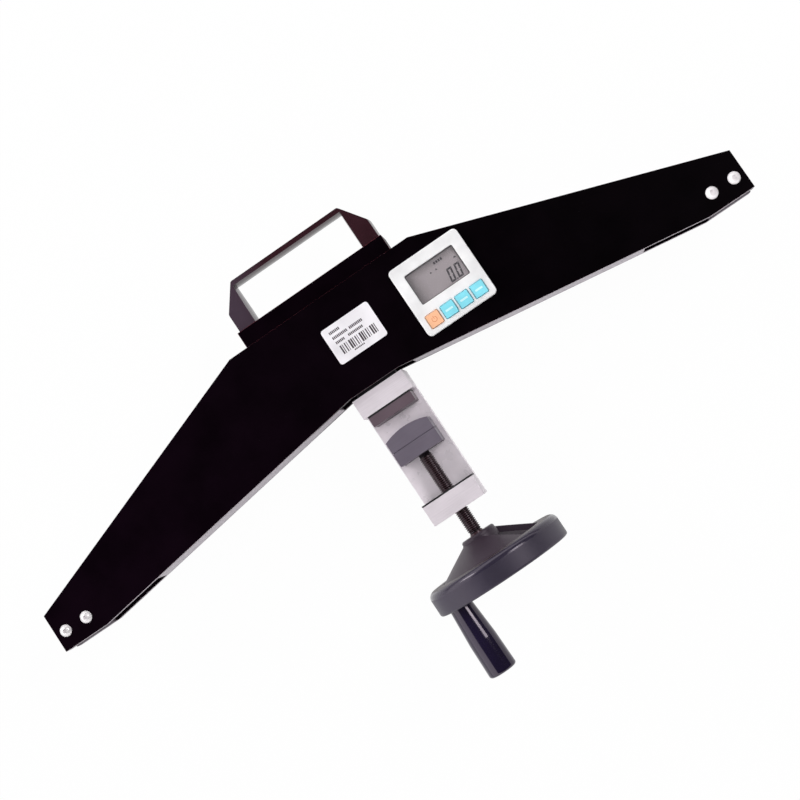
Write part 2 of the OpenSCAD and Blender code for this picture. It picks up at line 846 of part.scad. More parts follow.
module display_window() {
    color("#c8d2d6", 0.5) at_display(lcd_z)
        translate([0, window_y, 0])
            linear_extrude(window_t) square([pane_w, pane_h], center = true);
}

module lcd_panel() {
    color("#96908f") at_display(backlight_z)
        translate([0, window_y, 0]) linear_extrude(lcd_t) square([lcd_w, lcd_h], center = true);
}

module lcd_backlight() {
    color("#e6e6e2") at_display(board_z)
        translate([0, window_y, 0])
            linear_extrude(backlight_t) square([lcd_w, lcd_h], center = true);
}

module display_board() {
    color("#1d6b3c") at_display(board_z - board_t)
        difference() {
            linear_extrude(board_t) square([board_w, board_h], center = true);
            post_places()
                translate([0, 0, -cut])
                    cylinder(h = board_t + 2 * cut, d = board_screw_d + 2 * screw_clear);
        }
}

// Each switch is a square body with a round plunger under its key
module key_switches() {
    body_h = (switch_top - board_z) * switch_body_share;
    color("#2b2b2f") at_display(board_z)
        key_places() {
            linear_extrude(body_h) square(switch_size, center = true);
            cylinder(h = switch_top - board_z, d = switch_size / 2);
        }
}

module board_screws() {
    color("#b9b4ad") at_display(board_z - board_t)
        post_places()
            mirror([0, 0, 1]) socket_screw(board_screw_d, board_t + backlight_t + lcd_t);
}

// Key with a rim behind the bezel that keeps it from falling out
module push_key(index) {
    at_display(0)
        translate([key_x(index), key_y, key_bottom]) {
            linear_extrude(key_rim_t) square(key_rim_size, center = true);
            linear_extrude(bezel_z + key_rise - key_bottom) rounded_rect(key_size, key_size, key_corner);
        }
}

module power_key() {
    color("#f2b083") push_key(0);
}

module key_one() {
    color("#78dcf0") push_key(1);
}

module key_two() {
    color("#78dcf0") push_key(2);
}

module key_three() {
    color("#78dcf0") push_key(3);
}

module label() {
    color("#f4f1f4")
        translate([label_x, label_mid_y, front_z])
            linear_extrude(label_t) rounded_rect(label_w, label_h, label_r);
}

module battery() {
    color("#3a3d44")
        translate([battery_x, battery_y, battery_z])
            linear_extrude(battery_t) square([battery_l, battery_w], center = true);
}

module battery_tray() {
    color("#24242a")
        translate([battery_x, battery_y, -gap_half])
            linear_extrude(tray_h)
                difference() {
                    square([tray_l, tray_w], center = true);
                    square([bay_l, bay_w], center = true);
                }
}

// Moves the children to the two door screws, on the outer face at depth z
module door_screw_places(z) {
    for (x = [-1, 1])
        translate([battery_x + x * (bay_l + door_lip) / 2, battery_y, z]) mirror([0, 0, 1]) children();
}

module battery_door() {
    color("#15121a")
        difference() {
            translate([battery_x, battery_y, rear_z])
                linear_extrude(door_t) square([door_l, door_w], center = true);
            door_screw_places(rear_z) sunk_hole(door_screw_d, door_t + cut);
        }
}

module door_screws() {
    color("#d8d2cc") door_screw_places(rear_z) sunk_screw(door_screw_d, plate_t);
}

module load_bridge() {
    color("#8f8b93")
        difference() {
            translate([-bridge_w / 2, cell_top, -gap_half])
                cube([bridge_w, bridge_h, body_gap]);
            both_sides() {
                translate(bridge_point)
                    cylinder(h = body_gap + 2 * cut, d = tie_screw_d + 2 * screw_clear, center = true);
                translate([cell_bolt_pitch / 2, base_foot_y, 0]) along_y()
                    socket_hole(cell_bolt_d, base_foot_y - bridge_seat_y, bridge_h + cut);
            }
        }
}

// Beam load cell with two flexure holes joined by a slot, and slots that free its middle
module load_cell() {
    mid_y = (upper_block_top + cell_top) / 2;
    hole_x = cell_w / 2 - cell_hole_d;
    slot_y = cell_hole_d / 2 + cell_slot;
    color("#b8b4bb")
        difference() {
            translate([-cell_w / 2, upper_block_top, -cell_t / 2]) cube([cell_w, cell_h, cell_t]);
            for (x = [-hole_x, hole_x])
                translate([x, mid_y, 0]) cylinder(h = cell_t + 2 * cut, d = cell_hole_d, center = true);
            translate([0, mid_y, 0]) cube([2 * hole_x, cell_slot, cell_t + 2 * cut], center = true);
            for (s = [-1, 1])
                translate([s * (cell_w / 2 - hole_x), mid_y + s * slot_y, 0])
                    cube([2 * hole_x, cell_slot, cell_t + 2 * cut], center = true);
            for (x = [-1, 1])
                translate([x * cell_bolt_pitch / 2, 0, 0]) along_y() {
                    translate([0, 0, upper_block_top - cut])
                        cylinder(h = cell_bolt_grip + end_clear + cut, d = cell_bolt_d + 2 * screw_clear);
                    translate([0, 0, cell_top - cell_bolt_grip - end_clear])
                        cylinder(h = cell_bolt_grip + end_clear + cut, d = cell_bolt_d + 2 * screw_clear);
                }
        }
}

module bridge_bolts() {
    color("#6f6c74") both_sides()
        translate([cell_bolt_pitch / 2, bridge_seat_y, 0]) along_y()
            socket_screw(cell_bolt_d, bridge_seat_y - cell_top + cell_bolt_grip);
}

module neck_bolts() {
    head_y = upper_block_y + cell_bolt_d + end_clear;
    color("#6f6c74") both_sides()
        translate([cell_bolt_pitch / 2, head_y, 0]) along_y() mirror([0, 0, 1])
            socket_screw(cell_bolt_d, upper_block_top - head_y + cell_bolt_grip);
}

// Cable from the load cell's side to the edge of the display board
module signal_cable() {
    start_x = cell_w / 2;
    cable_y = cell_top - cell_bolt_grip;
    end_z = board_z - board_t;
    bend_r = cable_d * cable_bend_ratio;
    color("#1a1a1d")
        translate([0, cable_y, 0]) {
            translate([start_x, 0, 0]) rotate([0, 90, 0])
                cylinder(h = cable_x - bend_r - start_x, d = cable_d);
            translate([cable_x - bend_r, 0, bend_r]) rotate([90, 0, 0])
                rotate([0, 0, -90]) rotate_extrude(angle = 90) translate([bend_r, 0]) circle(d = cable_d);
            translate([cable_x, 0, bend_r]) cylinder(h = end_z - bend_r, d = cable_d);
        }
}

// Screws through the back plate into a block whose middle is at height y
module clamp_screw_places() {
    for (x = [-1, 1], y = [upper_block_y + upper_block_h / 2, lower_block_y + lower_block_h / 2])
        translate([x * clamp_screw_pitch / 2, y, back_plate_z]) mirror([0, 0, 1]) children();
}

module clamp_upper_block() {
    color("#d9d0d9")
        difference() {
            translate([-clamp_w / 2, upper_block_y, -clamp_z]) cube([clamp_w, upper_block_h, clamp_depth]);
            both_sides() {
                translate([cell_bolt_pitch / 2, upper_block_y, 0]) along_y() mirror([0, 0, 1])
                    socket_hole(cell_bolt_d, cell_bolt_d + end_clear, upper_block_h + cut);
                translate([anvil_screw_pitch / 2, upper_block_top, 0]) along_y()
                    socket_hole(anvil_screw_d, anvil_screw_d + end_clear, upper_block_h + cut);
            }
            clamp_screw_places()
                translate([0, 0, -back_plate_t - clamp_screw_grip - end_clear])
                    cylinder(h = clamp_screw_grip + end_clear + cut, d = clamp_screw_d + 2 * screw_clear);
        }
}

module clamp_back_plate() {
    color("#c4bac4")
        difference() {
            translate([-clamp_w / 2, lower_block_y, back_plate_z])
                cube([clamp_w, upper_block_top - lower_block_y, back_plate_t]);
            clamp_screw_places()
                socket_hole(clamp_screw_d, clamp_screw_d + end_clear, back_plate_t + cut);
        }
}

module clamp_lower_block() {
    color("#d9d0d9")
        difference() {
            translate([-clamp_w / 2, lower_block_y, -clamp_z]) cube([clamp_w, lower_block_h, clamp_depth]);
            translate([0, lower_block_y - cut, 0]) along_y() cylinder(h = lower_block_h + 2 * cut, d = nut_d);
            translate([0, lower_block_top - nut_flange_t, 0]) along_y()
                cylinder(h = nut_flange_t + cut, d = nut_flange_d);
            clamp_screw_places()
                translate([0, 0, -back_plate_t - clamp_screw_grip - end_clear])
                    cylinder(h = clamp_screw_grip + end_clear + cut, d = clamp_screw_d + 2 * screw_clear);
        }
}

module clamp_screws() {
    color("#8d8a90") clamp_screw_places()
        translate([0, 0, -clamp_screw_d - end_clear])
            socket_screw(clamp_screw_d, back_plate_t - clamp_screw_d - end_clear + clamp_screw_grip);
}

// Holes for the anvil screws, from height y up
module anvil_screw_holes(y, height) {
    both_sides()
        translate([anvil_screw_pitch / 2, y, 0]) along_y()
            cylinder(h = height, d = anvil_screw_d + 2 * screw_clear);
}

module anvil_shim() {
    color("#17151a")
        difference() {
            translate([-anvil_w / 2, shim_y, -clamp_z]) cube([anvil_w, shim_t, clamp_depth]);
            anvil_screw_holes(shim_y - cut, shim_t + 2 * cut);
        }
}

module anvil() {
    color("#6c5f69")
        difference() {
            translate([-anvil_w / 2, 0, -clamp_z]) cube([anvil_w, anvil_t, clamp_depth]);
            anvil_screw_holes(anvil_t - anvil_screw_grip - end_clear, anvil_screw_grip + end_clear + cut);
        }
}

module anvil_screws() {
    head_y = upper_block_top - anvil_screw_d - end_clear;
    color("#8d8a90") both_sides()
        translate([anvil_screw_pitch / 2, head_y, 0]) along_y()
            socket_screw(anvil_screw_d, head_y - anvil_t + anvil_screw_grip);
}

module stop_pad() {
    color("#17151a")
        difference() {
            translate([-clamp_w / 2, lower_block_top, -clamp_z]) cube([clamp_w, pad_t, clamp_depth]);
            translate([0, lower_block_top - cut, 0]) along_y()
                cylinder(h = pad_t + 2 * cut, d = spindle_d + 4 * slide_clear);
        }
}

module spindle_nut() {
    color("#b08a4c")
        translate([0, lower_block_y, 0]) along_y()
            difference() {
                union() {
                    cylinder(h = lower_block_h, d = nut_d);
                    translate([0, 0, lower_block_h - nut_flange_t])
                        cylinder(h = nut_flange_t, d = nut_flange_d);
                }
                translate([0, 0, -cut]) cylinder(h = lower_block_h + 2 * cut, d = spindle_d + 2 * run_clear);
            }
}

// Crowned rope shoe, on a base that leaves a dark groove between them
module jaw_shoe() {
    crown_r = (shoe_crown * shoe_crown + jaw_w * jaw_w / 4) / (2 * shoe_crown);
    color("#6f6675")
        difference() {
            intersection() {
                translate([-jaw_w / 2, shoe_y + jaw_groove, clamp_z - jaw_depth])
                    cube([jaw_w, shoe_h, jaw_depth]);
                translate([0, -jaw_gap - crown_r, clamp_z - jaw_depth - cut])
                    cylinder(h = jaw_depth + 2 * cut, r = crown_r, $fn = 180);
            }
            both_sides()
                translate([jaw_screw_pitch / 2, shoe_y - cut, 0]) along_y()
                    cylinder(h = jaw_screw_grip + end_clear + cut, d = jaw_screw_d + 2 * screw_clear);
            translate([jaw_w / 2 - cross_screw_l - end_clear, cross_y, 0]) rotate([0, 90, 0])
                cylinder(h = cross_screw_l + end_clear + cut, d = cross_screw_d + 2 * screw_clear);
        }
}

module jaw_base() {
    color("#6a6270")
        difference() {
            union() {
                translate([-jaw_w / 2, jaw_base_y, clamp_z - jaw_depth]) cube([jaw_w, jaw_base_h, jaw_depth]);
                translate([-jaw_w / 2 + 2 * jaw_groove, shoe_y, clamp_z - jaw_depth])
                    cube([jaw_w - 4 * jaw_groove, jaw_groove, jaw_depth - 2 * jaw_groove]);
            }
            translate([0, jaw_base_y - cut, 0]) along_y()
                cylinder(h = journal_l + cut + slide_clear, d = journal_d + 2 * run_clear);
            both_sides() {
                translate([jaw_screw_pitch / 2, jaw_base_y, 0]) along_y() mirror([0, 0, 1])
                    socket_hole(jaw_screw_d, jaw_screw_d + end_clear, jaw_base_h + jaw_groove + cut);
                translate([journal_pin_x, neck_y, clamp_z - jaw_depth - cut])
                    cylinder(h = jaw_depth - journal_pin_d + cut, d = journal_pin_d);
            }
        }
}

module jaw_screws() {
    head_y = jaw_base_y + jaw_screw_d + end_clear;
    color("#6f6c74") both_sides()
        translate([jaw_screw_pitch / 2, head_y, 0]) along_y() mirror([0, 0, 1])
            socket_screw(jaw_screw_d, shoe_y - head_y + jaw_screw_grip);
}

// Grub screw in the right side of the shoe
module cross_screw() {
    color("#17151a")
        translate([jaw_w / 2 - cross_screw_l - end_clear, cross_y, 0]) rotate([0, 90, 0])
            difference() {
                cylinder(h = cross_screw_l, d = cross_screw_d);
                translate([0, 0, cross_screw_l * (1 - socket_share)])
                    cylinder(h = cross_screw_l, d = cross_screw_d * small_socket_ratio, $fn = 6);
            }
}

// Two pins across the journal's neck keep the spindle in the jaw
module journal_pins() {
    color("#8d8a90") both_sides()
        translate([journal_pin_x, neck_y, clamp_z - jaw_depth])
            cylinder(h = jaw_depth - journal_pin_d - end_clear, d = journal_pin_d);
}

// Turned in one piece: journal with its neck, thread, shoulder and nose
module spindle() {
    journal_r = journal_d / 2;
    neck_half = journal_pin_d / 2 + 2 * run_clear;
    thread = [
        for (i = [0:thread_turns - 1], k = [0, 1])
            [k == 0 ? root_r : spindle_d / 2, thread_top - (i + (k == 0 ? 0 : 0.5)) * thread_lead]
    ];
    outline = concat(
        [
            [0, journal_y], [journal_r, journal_y], [journal_r, neck_y + neck_half],
            [neck_r, neck_y + neck_half], [neck_r, neck_y - neck_half],
            [journal_r, neck_y - neck_half], [journal_r, thread_top]
        ],
        thread,
        [
            [root_r, shoulder_ring_y], [shoulder_ring_d / 2, shoulder_ring_y], [shoulder_ring_d / 2, hub_y],
            [nose_d / 2, hub_y], [nose_d / 2, nose_y], [0, nose_y]
        ]
    );
    key_x = nose_d / 2 - wheel_key_side / 2;
    color("#1d191e")
        difference() {
            along_y() rotate_extrude() polygon(outline);
            translate([key_x - cut, hub_y - wheel_key_l - cut, -wheel_key_side / 2])
                cube([wheel_key_side + cut, wheel_key_l, wheel_key_side]);
            translate([0, nose_y - cut, 0]) along_y()
                cylinder(h = wheel_screw_grip + end_clear + cut, d = wheel_screw_d + 2 * screw_clear);
        }
}

// Section of the rim, from the wheel's axis outward and up from its bottom face
module rim_section() {
    flat_r = wheel_r - rim_round;
    edge_r = wheel_r - rim_edge;
    translate([rim_inner_r, 0]) square([flat_r - rim_inner_r, rim_h]);
    translate([flat_r, 0]) square([edge_r - flat_r, rim_h - rim_round]);
    translate([flat_r, rim_edge]) square([rim_round, rim_h - rim_round - rim_edge]);
    translate([edge_r, rim_edge]) circle(rim_edge);
    translate([flat_r, rim_h - rim_round]) circle(rim_round);
}

// Plan of one opening between the two broad spokes: one edge is straight, the other flares from the hub
module spoke_opening() {
    reach = 2 * wheel_r;
    edge = hub_r - spoke_root;
    intersection() {
        difference() {
            circle(rim_inner_r - spoke_root);
            circle(hub_r + spoke_root);
        }
        polygon([
            [0, spoke_edge], [reach, spoke_edge],
            [reach * cos(spoke_flare), -edge - reach * sin(spoke_flare)], [0, -edge]
        ]);
    }
}

// Space under the spokes, from the wheel's axis outward and up from its bottom face
module wheel_hollow() {
    hub_bottom = wheel_h - wheel_bore_l;
    polygon([
        [0, -cut], [rim_inner_r, -cut], [rim_inner_r, spoke_end_top - spoke_t],
        [hub_r, spoke_top - spoke_t], [hub_r, hub_bottom], [0, hub_bottom]
    ]);
}

module handwheel() {
    boss_r = grip_root_d / 2 + grip_boss_wall;
    color("#463c50")
        translate([0, rim_y, 0]) along_y()
            difference() {
                rotate_extrude() {
                    rim_section();
                    polygon([
                        [0, 0], [rim_inner_r + rim_edge, 0], [rim_inner_r + rim_edge, spoke_end_top],
                        [rim_inner_r, spoke_end_top], [hub_r, spoke_top], [hub_r, wheel_h - hub_chamfer],
                        [hub_r - hub_chamfer, wheel_h], [0, wheel_h]
                    ]);
                }
                difference() {
                    rotate_extrude() wheel_hollow();
                    translate([grip_x, -grip_z, -2 * cut]) cylinder(h = wheel_h, r = boss_r);
                }
                for (turn = [0, 180]) rotate([0, 0, turn])
                    translate([0, 0, -cut]) linear_extrude(wheel_h + 2 * cut) spoke_opening();
                translate([0, 0, -cut]) cylinder(h = wheel_h + 2 * cut, d = nose_d + 2 * run_clear);
                translate([0, 0, wheel_h - wheel_bore_l - cut])
                    cylinder(h = washer_t + cut, d = washer_d + 2 * seat_clear);
                translate([0, -wheel_key_side / 2 - run_clear, wheel_h - wheel_key_l - 2 * cut])
                    cube([
                        nose_d / 2 + wheel_key_side / 2 + run_clear,
                        wheel_key_side + 2 * run_clear, wheel_key_l + 3 * cut
                    ]);
                translate([grip_x, -grip_z, -cut])
                    cylinder(h = grip_bolt_grip + end_clear + cut, d = grip_bolt_d + 2 * screw_clear);
            }
}

module wheel_key() {
    color("#8d8a90")
        translate([nose_d / 2 - wheel_key_side / 2, hub_y - wheel_key_l - cut, -wheel_key_side / 2])
            cube([wheel_key_side, wheel_key_l, wheel_key_side]);
}

module wheel_washer() {
    color("#8d8a90")
        translate([0, hub_y - wheel_bore_l, 0]) along_y()
            difference() {
                cylinder(h = washer_t, d = washer_d);
                translate([0, 0, -cut])
                    cylinder(h = washer_t + 2 * cut, d = wheel_screw_d + 2 * screw_clear);
            }
}

module wheel_screw() {
    color("#8d8a90")
        translate([0, hub_y - wheel_bore_l, 0]) along_y() mirror([0, 0, 1])
            socket_screw(wheel_screw_d, washer_t + wheel_screw_grip);
}

// Shoulder bolt that the grip turns on
module grip_bolt() {
    color("#8d8a90")
        translate([grip_x, grip_bolt_y, grip_z]) along_y()
            difference() {
                union() {
                    translate([0, 0, -grip_head_h]) cylinder(h = grip_head_h, d = grip_head_d);
                    cylinder(h = rim_y - grip_bolt_y + grip_bolt_grip, d = grip_bolt_d);
                }
                translate([0, 0, -grip_head_h - cut])
                    cylinder(
                        h = grip_head_h * socket_share + cut, d = grip_bolt_d * button_socket_ratio, $fn = 6
                    );
            }
}

// Tapered grip, bored for its bolt and recessed for the bolt's head
module grip() {
    end_r = grip_end_d / 2;
    head_top = grip_bolt_y + slide_clear - grip_end_y;
    color("#0b080f")
        translate([grip_x, grip_end_y, grip_z]) along_y()
            difference() {
                rotate_extrude() {
                    polygon([
                        [0, 0], [end_r - grip_edge, 0], [end_r, grip_edge],
                        [grip_waist_d / 2, grip_l / 2], [grip_root_d / 2, grip_l], [0, grip_l]
                    ]);
                    translate([end_r - grip_edge, grip_edge]) circle(grip_edge);
                }
                translate([0, 0, -cut]) cylinder(h = grip_l + 2 * cut, d = grip_bolt_d + 2 * run_clear);
                translate([0, 0, -cut]) cylinder(h = head_top + cut, d = grip_head_d + 2 * slide_clear);
            }
}

front_plate();
rear_plate();
left_lower_bar();
right_lower_bar();
left_upper_bar();
right_upper_bar();
left_rope_block();
right_rope_block();
end_screws();
rear_end_screws();
tie_screws();
handle_base();
carry_handle();
handle_bolts();
display_bezel();
display_window();
lcd_panel();
lcd_backlight();
display_board();
key_switches();
board_screws();
power_key();
key_one();
key_two();
key_three();
label();
battery();
battery_tray();
battery_door();
door_screws();
load_bridge();
load_cell();
bridge_bolts();
neck_bolts();
signal_cable();
clamp_upper_block();
clamp_back_plate();
clamp_lower_block();
clamp_screws();
anvil_shim();
anvil();
anvil_screws();
stop_pad();
spindle_nut();
jaw_shoe();
jaw_base();
jaw_screws();
cross_screw();
journal_pins();
spindle();
handwheel();
wheel_key();
wheel_washer();
wheel_screw();
grip_bolt();
grip();
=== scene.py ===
"""Looks of a wire rope tension meter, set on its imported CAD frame."""

import math

import bmesh
import bpy
from bpy.props import FloatProperty, FloatVectorProperty, IntProperty, PointerProperty
from mathutils import Euler, Matrix, Vector


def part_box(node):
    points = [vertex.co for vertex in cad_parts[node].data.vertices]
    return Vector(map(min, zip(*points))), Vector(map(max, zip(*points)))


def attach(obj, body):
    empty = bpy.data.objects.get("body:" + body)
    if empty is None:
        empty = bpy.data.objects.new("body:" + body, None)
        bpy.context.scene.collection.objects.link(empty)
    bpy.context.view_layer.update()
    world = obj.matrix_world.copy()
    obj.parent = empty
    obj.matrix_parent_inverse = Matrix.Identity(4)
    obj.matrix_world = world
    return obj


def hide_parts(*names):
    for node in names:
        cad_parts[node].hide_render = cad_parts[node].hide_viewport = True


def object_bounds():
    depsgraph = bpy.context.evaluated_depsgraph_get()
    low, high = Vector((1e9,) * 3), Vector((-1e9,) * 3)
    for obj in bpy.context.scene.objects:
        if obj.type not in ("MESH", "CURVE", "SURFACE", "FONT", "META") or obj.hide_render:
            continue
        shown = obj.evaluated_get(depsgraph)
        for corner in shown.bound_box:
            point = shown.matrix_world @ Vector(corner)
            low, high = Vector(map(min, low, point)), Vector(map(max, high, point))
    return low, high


bl_info = {
    "name": "Rope Tension Meter",
    "version": (1, 0, 0),
    "blender": (4, 5, 0),
    "location": "View3D > Sidebar > Tension Meter",
    "description": "Finishes, small parts and studio of a wire rope tension meter",
    "category": "Object",
}

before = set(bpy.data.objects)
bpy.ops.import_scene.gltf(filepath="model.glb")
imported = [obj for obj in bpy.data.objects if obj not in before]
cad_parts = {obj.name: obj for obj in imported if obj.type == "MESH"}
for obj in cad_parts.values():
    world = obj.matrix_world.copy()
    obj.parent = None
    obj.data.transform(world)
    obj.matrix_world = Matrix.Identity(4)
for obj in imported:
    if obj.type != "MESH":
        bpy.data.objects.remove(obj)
CAD_BOX = [list(corner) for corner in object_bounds()]
MM = 0.001
WELD_REACH = 0.001 * MM
FLAT_ANGLE = math.radians(0.4)
EDGE_ANGLE = math.radians(40.0)
WORN_WIDTH = 0.4 * MM
# Black of the painted shade that darkens the coat toward +X
PAINTED_SHADE_BLACK = (0.0004, 0.0003, 0.0004)
DUST = (0.25, 0.23, 0.27)
# Colour of the painted highlight on the broken edges of the coat
PAINTED_EDGE_HIGHLIGHT = (0.20, 0.045, 0.055)
# Light cut edge of the plates: bare metal, and a painted grazing reflection
CUT_EDGE = (0.40, 0.36, 0.40)


class MeterFinishes(bpy.types.PropertyGroup):
    """Colours of the meter's surfaces"""

    plate: FloatVectorProperty(
        name="Plates", description="Powder coat of the body plates", subtype="COLOR",
        default=(0.0030, 0.0005, 0.0026), min=0.0, max=1.0)
    bar: FloatVectorProperty(
        name="Arm bars", description="Bare metal of the bars between the plates", subtype="COLOR",
        default=(0.50, 0.45, 0.50), min=0.0, max=1.0)
    handle: FloatVectorProperty(
        name="Carry handle", description="Moulded plastic of the carry handle", subtype="COLOR",
        default=(0.026, 0.0065, 0.0105), min=0.0, max=1.0)
    bezel: FloatVectorProperty(
        name="Bezel", description="Plastic of the display bezel", subtype="COLOR",
        default=(0.84, 0.83, 0.84), min=0.0, max=1.0)
    display: FloatVectorProperty(
        name="Display", description="Ground of the display panel", subtype="COLOR",
        default=(0.33, 0.288, 0.304), min=0.0, max=1.0)
    power_key: FloatVectorProperty(
        name="Power key", description="Plastic of the power key", subtype="COLOR",
        default=(0.90, 0.48, 0.28), min=0.0, max=1.0)
    other_keys: FloatVectorProperty(
        name="Other keys", description="Plastic of the other keys", subtype="COLOR",
        default=(0.23, 0.72, 0.85), min=0.0, max=1.0)
    clamp: FloatVectorProperty(
        name="Clamp", description="Silver anodised clamp blocks", subtype="COLOR",
        default=(0.74, 0.675, 0.725), min=0.0, max=1.0)
    jaw: FloatVectorProperty(
        name="Jaw and anvil", description="Ground steel of the jaw and the anvil", subtype="COLOR",
        default=(0.145, 0.122, 0.160), min=0.0, max=1.0)
    wheel: FloatVectorProperty(
        name="Handwheel", description="Satin thermoset of the handwheel", subtype="COLOR",
        default=(0.026, 0.021, 0.038), min=0.0, max=1.0)
    grip: FloatVectorProperty(
        name="Grip", description="Polished thermoset of the grip", subtype="COLOR",
        default=(0.007, 0.004, 0.020), min=0.0, max=1.0)


class MeterDetails(bpy.types.PropertyGroup):
    """Sizes of the meter's small forms"""

    plate_edge: FloatProperty(
        name="Plate edge", description="Width of the broken edges of the plates", subtype="DISTANCE",
        default=0.5 * MM, min=0.0)
    block_edge: FloatProperty(
        name="Block edge", description="Width of the broken edges of blocks and bars", subtype="DISTANCE",
        default=0.35 * MM, min=0.0)
    handle_side: FloatProperty(
        name="Handle side", description="Height of the carry handle's straight sides", subtype="DISTANCE",
        default=16.0 * MM, min=0.0)
    handle_top: FloatProperty(
        name="Handle top", description="Width of the carry handle's flat top", subtype="DISTANCE",
        default=106.0 * MM, min=0.0)
    handle_round: FloatProperty(
        name="Handle corners", description="Corner radius of the carry handle's outline", subtype="DISTANCE",
        default=4.0 * MM, min=0.0)
    hand_width: FloatProperty(
        name="Hand opening", description="Width of the opening for the hand", subtype="DISTANCE",
        default=107.0 * MM, min=0.0)
    bar_height: FloatProperty(
        name="Hand bar height", description="Height of the bar that the hand holds", subtype="DISTANCE",
        default=4.9 * MM, min=0.0)
    bar_depth: FloatProperty(
        name="Hand bar depth", description="Depth of the bar that the hand holds", subtype="DISTANCE",
        default=18.0 * MM, min=0.0)
    bar_edge: FloatProperty(
        name="Hand bar edge", description="Edge radius on the underside of the hand bar", subtype="DISTANCE",
        default=0.7 * MM, min=0.0)
    bar_crown: FloatProperty(
        name="Hand bar crown", description="Rise of the carry handle's crowned sides", subtype="DISTANCE",
        default=1.0 * MM, min=0.0)
    bezel_edge: FloatProperty(
        name="Bezel edge", description="Edge radius of the display bezel", subtype="DISTANCE",
        default=0.9 * MM, min=0.0)
    bezel_corner: FloatProperty(
        name="Bezel corner", description="Corner radius of the display bezel", subtype="DISTANCE",
        default=4.0 * MM, min=0.0)
    bezel_lap: FloatProperty(
        name="Bezel lap", description="Width of the bezel's foot on the front plate", subtype="DISTANCE",
        default=1.5 * MM, min=0.0)
    thread_lead: FloatProperty(
        name="Thread lead", description="Lead of the spindle's thread", subtype="DISTANCE",
        default=1.75 * MM, min=0.1 * MM)
    thread_depth: FloatProperty(
        name="Thread depth", description="Depth of the spindle's thread", subtype="DISTANCE",
        default=0.95 * MM, min=0.0)
    turn_segments: IntProperty(
        name="Round segments", description="Segments of a turned form", default=64, min=16)
    digit_height: FloatProperty(
        name="Digit height", description="Height of a digit on the display", subtype="DISTANCE",
        default=12.1 * MM, min=0.0)
    digit_width: FloatProperty(
        name="Digit width", description="Width of a digit on the display", subtype="DISTANCE",
        default=4.9 * MM, min=0.0)


class MeterStudio(bpy.types.PropertyGroup):
    """Camera and light of the studio"""

    camera_place: FloatVectorProperty(
        name="Camera place", description="Where the camera stands", subtype="TRANSLATION",
        default=(118.537 * MM, -86.218 * MM, 1221.115 * MM))
    camera_turn: FloatVectorProperty(
        name="Camera turn", description="How the camera is turned", subtype="EULER",
        default=tuple(math.radians(a) for a in (0.7771, 6.7228, -33.8967)))
    camera_lens: FloatProperty(
        name="Lens", description="Focal length of the camera", unit="CAMERA", default=66.386)
    key_power: FloatProperty(
        name="Key light", description="Power of the long soft box", subtype="POWER", default=20.5)
    side_power: FloatProperty(
        name="Side light", description="Power of the soft box beside the handle", subtype="POWER",
        default=8.5)
    fill_power: FloatProperty(
        name="Fill light", description="Power of the soft box over the front", subtype="POWER", default=11.0)
    walls: FloatProperty(
        name="Walls", description="Strength of the bright walls round the floor", default=1.7)
    ceiling: FloatProperty(
        name="Ceiling", description="Strength of the dim ceiling", default=0.10)


